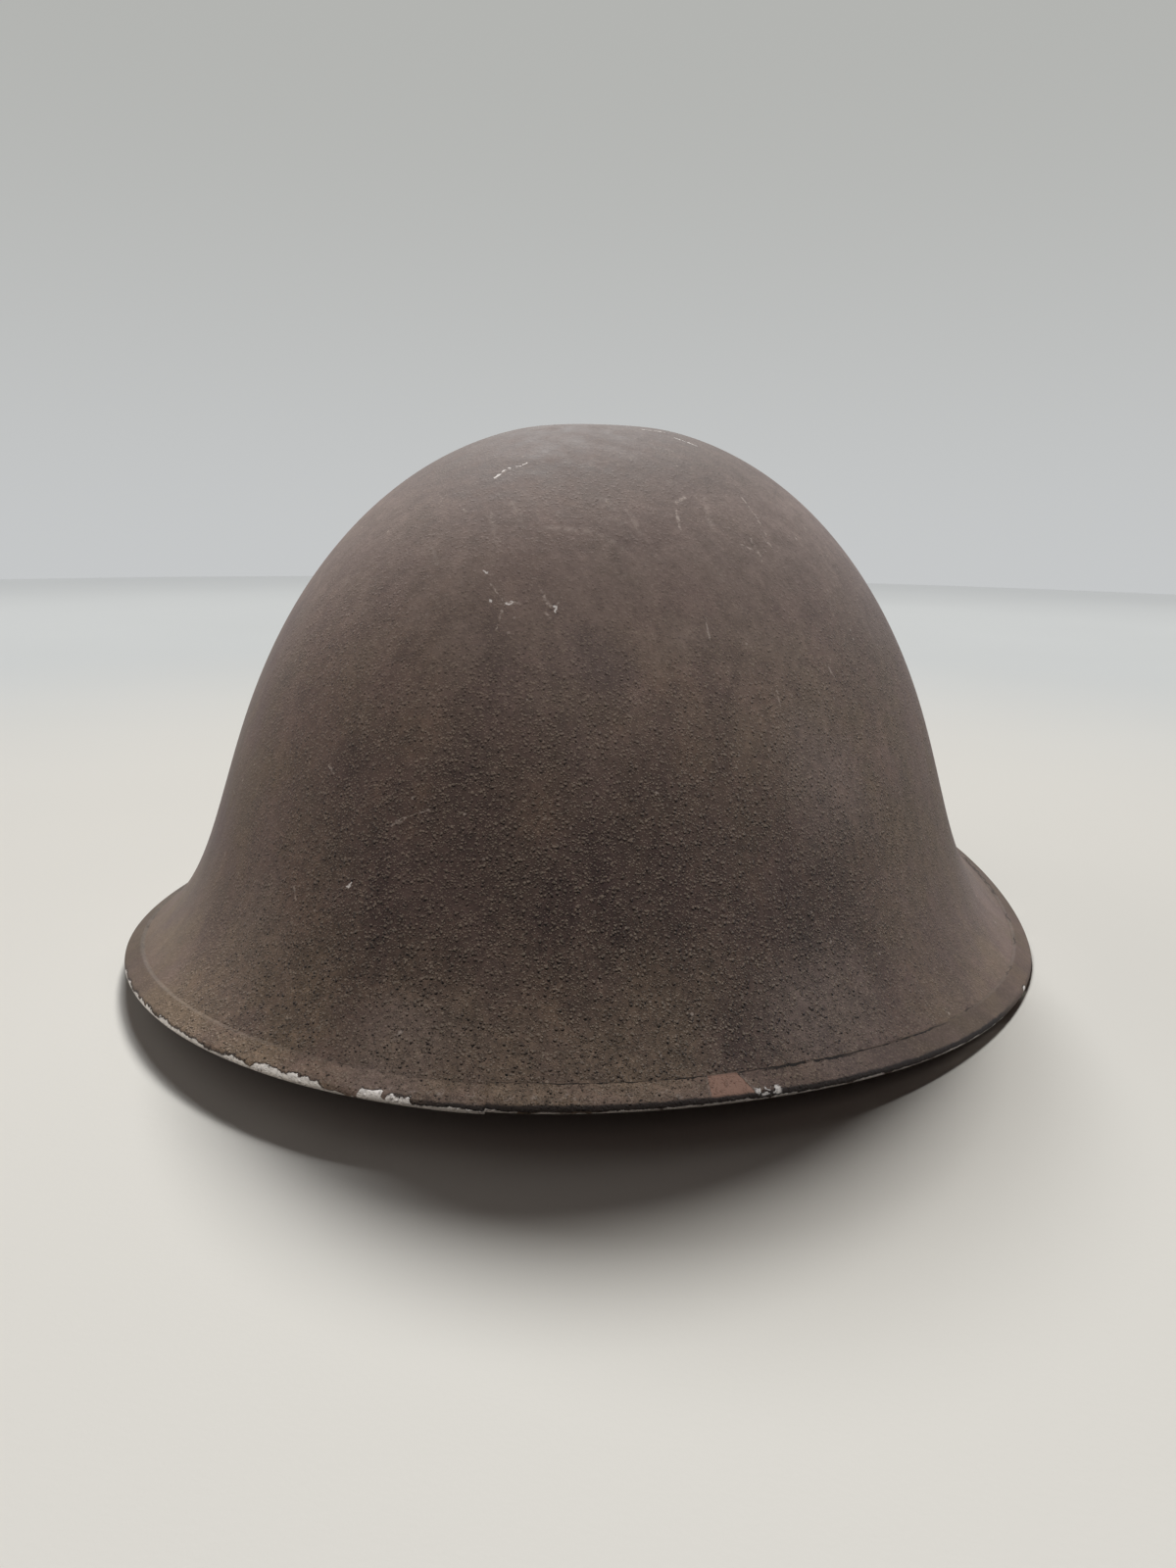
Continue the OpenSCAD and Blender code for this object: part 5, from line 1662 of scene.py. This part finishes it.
class HELMET_OT_weave_chinstrap(bpy.types.Operator):
    """Weave the webbing, fold it round the hooks' loops and sew the folds"""

    bl_idname = "helmet.weave_chinstrap"
    bl_label = "Weave Chinstrap"

    def execute(self, context):
        chin, c = Chinstrap(context.scene), context.scene.helmet_colours
        s, laid = chin.sizes, chin.laid()
        ply = s.web_thickness - 0.1 * MM
        eye = s.wire / 2 + 0.15 * MM + ply / 2
        half = s.web_thickness / 2
        turn = np.radians(np.linspace(20, -200, 34))
        fold = [(half, s.fold_length), (half, s.fold_length * 0.7), (half, 6.4 * MM),
                (half * 1.2, 5.0 * MM)]
        fold += [(eye * math.cos(a), eye * math.sin(a)) for a in turn]
        fold += [(-half * 1.2, 5.0 * MM), (-half, 6.4 * MM), (-half, 9 * MM)]
        fold += [(-half, y) for y in np.linspace(12 * MM, s.run_length, 14)[:-1]]
        bar = np.array([chin.hook, chin.bar])
        side = np.array([bar + p[0] * chin.out + p[1] * chin.run for p in fold])
        arc = np.linspace(s.run_lean, math.pi - s.run_lean, 60)
        back = np.stack([chin.back_radius * np.cos(arc),
                         chin.back_centre + chin.back_radius * np.sin(arc)], 1)
        path = np.vstack([side, back, (side * [-1, 1])[::-1]])
        path, run = even(eased(path, 2), 480)
        ahead = np.gradient(path, axis=0)
        ahead /= np.linalg.norm(ahead, axis=1, keepdims=True)
        out = np.stack([ahead[:, 1], -ahead[:, 0]], 1)
        loop = round_loop(s.web_width, ply, 0.75 * MM, flats=12, corner=3)
        rows = np.array([np.c_[p + loop[:, :1] * n, loop[:, 1]] for p, n in zip(path, out)])
        rows = moved(rows, laid)
        web = draw_skin("chinstrap_web", rows, along=run / MM, across=loop[:, 1] / MM)
        finish(web, "chinstrap", "webbing", webbing_finish(c, s.web_width / 2 / MM),
               replaces=["chinstrap"], smoothed=60)
        # A box with a cross in it, sewn through each fold.
        low, high, reach = 6.6 * MM, s.fold_length - 1.4 * MM, s.web_width / 2 - 2.2 * MM
        corners = [(low, -reach), (high, -reach), (high, reach), (low, reach)]
        box = [(corners[i], corners[j])
               for i, j in ((0, 1), (1, 2), (2, 3), (3, 0), (0, 2), (3, 1))]
        places = []
        for mirror in (1, -1):
            for face in (1, -1):
                for a, b in box:
                    a, b = np.array(a), np.array(b)
                    count = max(2, round(float(np.linalg.norm(b - a)) / (2.4 * MM)))
                    for i in range(count):
                        y, w = a + (b - a) * (i + 0.5) / count
                        flat = bar + face * (s.web_thickness - 0.02 * MM) * chin.out + y * chin.run
                        step = (b - a) / np.linalg.norm(b - a)
                        run3 = Vector((chin.run[0] * step[0] * mirror,
                                       chin.run[1] * step[0], step[1]))
                        out3 = Vector((chin.out[0] * mirror, chin.out[1], 0)) * face
                        third = run3.cross(out3)
                        turned = Matrix((run3, out3, third)).transposed().to_4x4()
                        where = Matrix.Translation((flat[0] * mirror, flat[1], w))
                        places.append(laid @ where @ turned)
        stitches = sewn("chinstrap_stitches", places, (1.05 * MM, 0.22 * MM, 0.26 * MM))
        finish(stitches, "chinstrap", "webbing", thread_of(c))
        return {"FINISHED"}


class HELMET_OT_bend_hooks(bpy.types.Operator):
    """Bend the two wire hooks, each with its loop for the webbing"""

    bl_idname = "helmet.bend_hooks"
    bl_label = "Bend Hooks"

    def execute(self, context):
        chin, c = Chinstrap(context.scene), context.scene.helmet_colours
        s, laid = chin.sizes, chin.laid()
        high = (s.web_width + 2 * s.wire_clearance + s.wire) / 2
        for side, node in ((1, "hook_left"), (-1, "hook_right")):
            flip = [side, 1, 1]

            def bent(name, path, radii, replaces=(), **closing):
                rows = moved(wire_rows(path, radii, 20, closed=bool(closing)), laid)
                piece = draw_skin(f"{node}_{name}", rows, **closing)
                finish(piece, "chinstrap", "zinc_steel", zinc_of(c), replaces=replaces,
                       smoothed=60)

            arm = np.array([(chin.tip, s.hook_arm - 1 * MM, 0), (chin.tip, 0, 0), (chin.hook, 0, 0),
                            (chin.hook, s.hook_arm - 0.2 * MM, 0)]) * flip
            arm, at = even(bent_corners(arm, s.wire / 2 + 0.02 * MM), 64)
            tip = np.clip(at / (s.wire * 0.5), 0, 1)
            bent("arm", arm, s.wire / 2 * np.sqrt(np.clip(1 - (1 - tip) ** 2, 0.02, 1)))
            loop = np.array([(chin.hook, s.hook_arm, -high), (chin.hook, s.hook_arm, high),
                             (chin.hook, chin.bar, high), (chin.hook, chin.bar, -high)]) * flip
            loop = bent_corners(loop, 1.7 * MM, closed=True, steps=7)
            loop, _ = even(np.vstack([loop, loop[:1]]), 120)
            bent("loop", loop[:-1], np.full(120, s.wire / 2), replaces=[node], ends="joined")
            bead = np.array([(chin.hook, s.hook_arm, w * MM) for w in (-2.2, 2.2)]) * flip
            bulge = 0.6 + 0.55 * np.sin(np.linspace(0, math.pi, 17)) ** 0.5
            bent("braze", even(bead, 16)[0], s.wire / 2 * bulge)
        return {"FINISHED"}


class HELMET_OT_fit_slider(bpy.types.Operator):
    """Ease the edges of the brass slider"""

    bl_idname = "helmet.fit_slider"
    bl_label = "Fit Slider"

    def execute(self, context):
        slider = softened("strap_slider", "slider_frame", 0.4 * MM, segments=3)
        finish(slider, "slider", "brass", brass_of(context.scene.helmet_colours),
               replaces=["strap_slider"])
        return {"FINISHED"}


class HELMET_OT_set_stage(bpy.types.Operator):
    """Lay the pale floor and backdrop, hang the soft lamps and place the camera"""

    bl_idname = "helmet.set_stage"
    bl_label = "Set Stage"

    def execute(self, context):
        scene, c = context.scene, context.scene.helmet_colours
        sheet = self.lay_floor(c)
        self.hang_lamps(scene, c, sheet)
        self.place_camera(scene)
        scene.view_settings.view_transform = "Standard"
        return {"FINISHED"}

    def lay_floor(self, c):
        """A wide round sheet of pale paper."""
        clear_selection()
        bpy.ops.mesh.primitive_circle_add(vertices=128, radius=0.6, fill_type="NOTHING")
        sheet = added("pale_floor")
        edit("EDGE")
        bpy.ops.mesh.select_all(action="SELECT")
        for grow in (2.0, 1.5):
            bpy.ops.mesh.extrude_region_move(TRANSFORM_OT_translate={"value": (0, 0, 0)})
            bpy.ops.transform.resize(value=(grow, grow, 1))
        pick(sheet, "EDGE", lambda a, b: max(a.to_2d().length, b.to_2d().length) < 0.61)
        bpy.ops.mesh.fill()
        leave_facing_outward()
        take_up(sheet)
        sheet.data.materials.append(floor_finish(c))
        return sheet

    def hang_lamps(self, scene, c, sheet):
        """Two keys side by side from above and behind, a low wide lamp from one side, faint light
        from the front, a side lamp and a top lamp that are flagged off the floor, and a fill."""
        suns = (("key_lamp", (0.20, -0.61, -0.72), 12, 2.40, (1.0, 0.99, 0.97)),
                ("second_key_lamp", (0.40, -0.60, -0.71), 12, 1.30, (0.97, 0.985, 1.0)),
                ("low_lamp", (0.90, 0.0, -0.30), 70, 0.55, (1.0, 0.94, 0.90)),
                ("front_lamp", (0.0, 0.90, -0.40), 60, 0.14, (1.0, 0.75, 0.68)))

        def hang(name, kind, aim, strength, colour, **shape):
            data = bpy.data.lights.new(name, kind)
            data.energy, data.color = strength, colour
            for key, value in shape.items():
                setattr(data, key, value)
            lamp = bpy.data.objects.new(name, data)
            lamp.rotation_euler = Vector(aim).to_track_quat("-Z", "Y").to_euler()
            scene.collection.objects.link(lamp)
            return lamp

        for name, way, spread, strength, colour in suns:
            hang(name, "SUN", way, strength, colour, angle=math.radians(spread))
        flagged = bpy.data.collections.new("flagged_off")
        flagged.objects.link(sheet)
        flagged.collection_objects[0].light_linking.link_state = "EXCLUDE"
        for name, place, target, strength, colour in (
            ("side_lamp", (0.80, 0.30, 0.50), (0, 0, 0.07), 3.6, (0.86, 0.92, 1.0)),
            ("top_lamp", (0.07, -0.46, 1.25), (0, 0, 0.05), 8.6, (0.95, 0.955, 1.0)),
        ):
            lamp = hang(name, "AREA", Vector(target) - Vector(place), strength, colour,
                        shape="SQUARE", size=0.7)
            lamp.location = place
            lamp.light_linking.receiver_collection = flagged
        world = bpy.data.worlds.new("soft_room")
        world.use_nodes = True
        t = Tree(world.node_tree)
        fill = world.node_tree.nodes["Background"]
        fill.inputs["Color"].default_value = (1.0, 0.88, 0.80, 1)
        fill.inputs["Strength"].default_value = 0.004
        height = t.separate(t.new("ShaderNodeTexCoord").outputs["Generated"])[2]
        seen = t.new("ShaderNodeBackground")
        t.feed(seen.inputs["Color"], t.blend(t.step(height, -0.1, 0.36), c.backdrop, HIGH_WALL))
        path = t.new("ShaderNodeLightPath")
        looks = t.most(path.outputs["Is Camera Ray"], path.outputs["Is Glossy Ray"],
                       path.outputs["Is Transmission Ray"])
        mix = t.new("ShaderNodeMixShader")
        for number, value in enumerate((looks, fill.outputs[0], seen.outputs[0])):
            t.feed(mix.inputs[number], value)
        t.feed(world.node_tree.nodes["World Output"].inputs[0], mix.outputs[0])
        scene.world = world

    def place_camera(self, scene):
        """The camera of the photograph, whose frame is 1200 by 1600 points."""
        data = bpy.data.cameras.new("camera")
        data.sensor_width = 36
        data.lens = PHOTO_FOCAL / PHOTO_HEIGHT * data.sensor_width
        data.clip_start, data.clip_end = 0.01, 50
        camera = bpy.data.objects.new("camera", data)
        scene.collection.objects.link(camera)
        place, target = Vector(CAMERA_PLACE) * MM, Vector(CAMERA_TARGET) * MM
        ahead = (target - place).normalized()
        right = ahead.cross(Vector((0, 0, 1))).normalized()
        up = right.cross(ahead)
        roll = math.radians(CAMERA_ROLL)
        turned_right = right * math.cos(roll) + up * math.sin(roll)
        turned_up = up * math.cos(roll) - right * math.sin(roll)
        axes = Matrix((turned_right, turned_up, -ahead)).transposed().to_4x4()
        camera.matrix_world = Matrix.Translation(place) @ axes
        scene.camera = camera


class HELMET_PT_pieces(bpy.types.Panel):
    """Lists the helmet's settings and the steps that make its pieces"""

    bl_label = "Turtle Helmet"
    bl_idname = "HELMET_PT_pieces"
    bl_space_type = "VIEW_3D"
    bl_region_type = "UI"
    bl_category = "Helmet"

    def draw(self, context):
        layout = self.layout
        for operator in OPERATORS:
            layout.operator(operator.bl_idname)
        for name in SETTINGS:
            box = layout.box()
            group = getattr(context.scene, name)
            box.label(text=name.replace("_", " ").capitalize())
            for key in group.__annotations__:
                box.prop(group, key)


SETTINGS = {
    "helmet_shell": HelmetShellSizes,
    "helmet_rim": HelmetRimSizes,
    "helmet_liner": HelmetLinerSizes,
    "helmet_chinstrap": HelmetChinstrapSizes,
    "helmet_colours": HelmetColours,
}
OPERATORS = (
    HELMET_OT_set_stage,
    HELMET_OT_press_shell,
    HELMET_OT_fold_rim,
    HELMET_OT_set_crown_fastener,
    HELMET_OT_weld_lugs,
    HELMET_OT_cut_band,
    HELMET_OT_lay_straps,
    HELMET_OT_set_snaps,
    HELMET_OT_mould_buffers,
    HELMET_OT_sew_sweatband,
    HELMET_OT_fill_crown_pad,
    HELMET_OT_weave_chinstrap,
    HELMET_OT_bend_hooks,
    HELMET_OT_fit_slider,
)


def register():
    for name, group in SETTINGS.items():
        bpy.utils.register_class(group)
        setattr(bpy.types.Scene, name, bpy.props.PointerProperty(type=group))
    for cls in (*OPERATORS, HELMET_PT_pieces):
        bpy.utils.register_class(cls)


def unregister():
    for cls in reversed((*OPERATORS, HELMET_PT_pieces)):
        bpy.utils.unregister_class(cls)
    for name, group in reversed(SETTINGS.items()):
        delattr(bpy.types.Scene, name)
        bpy.utils.unregister_class(group)


def main():
    register()
    for operator in OPERATORS:
        group, name = operator.bl_idname.split(".")
        getattr(getattr(bpy.ops, group), name)()
    clear_selection()


if __name__ == "__main__":
    main()
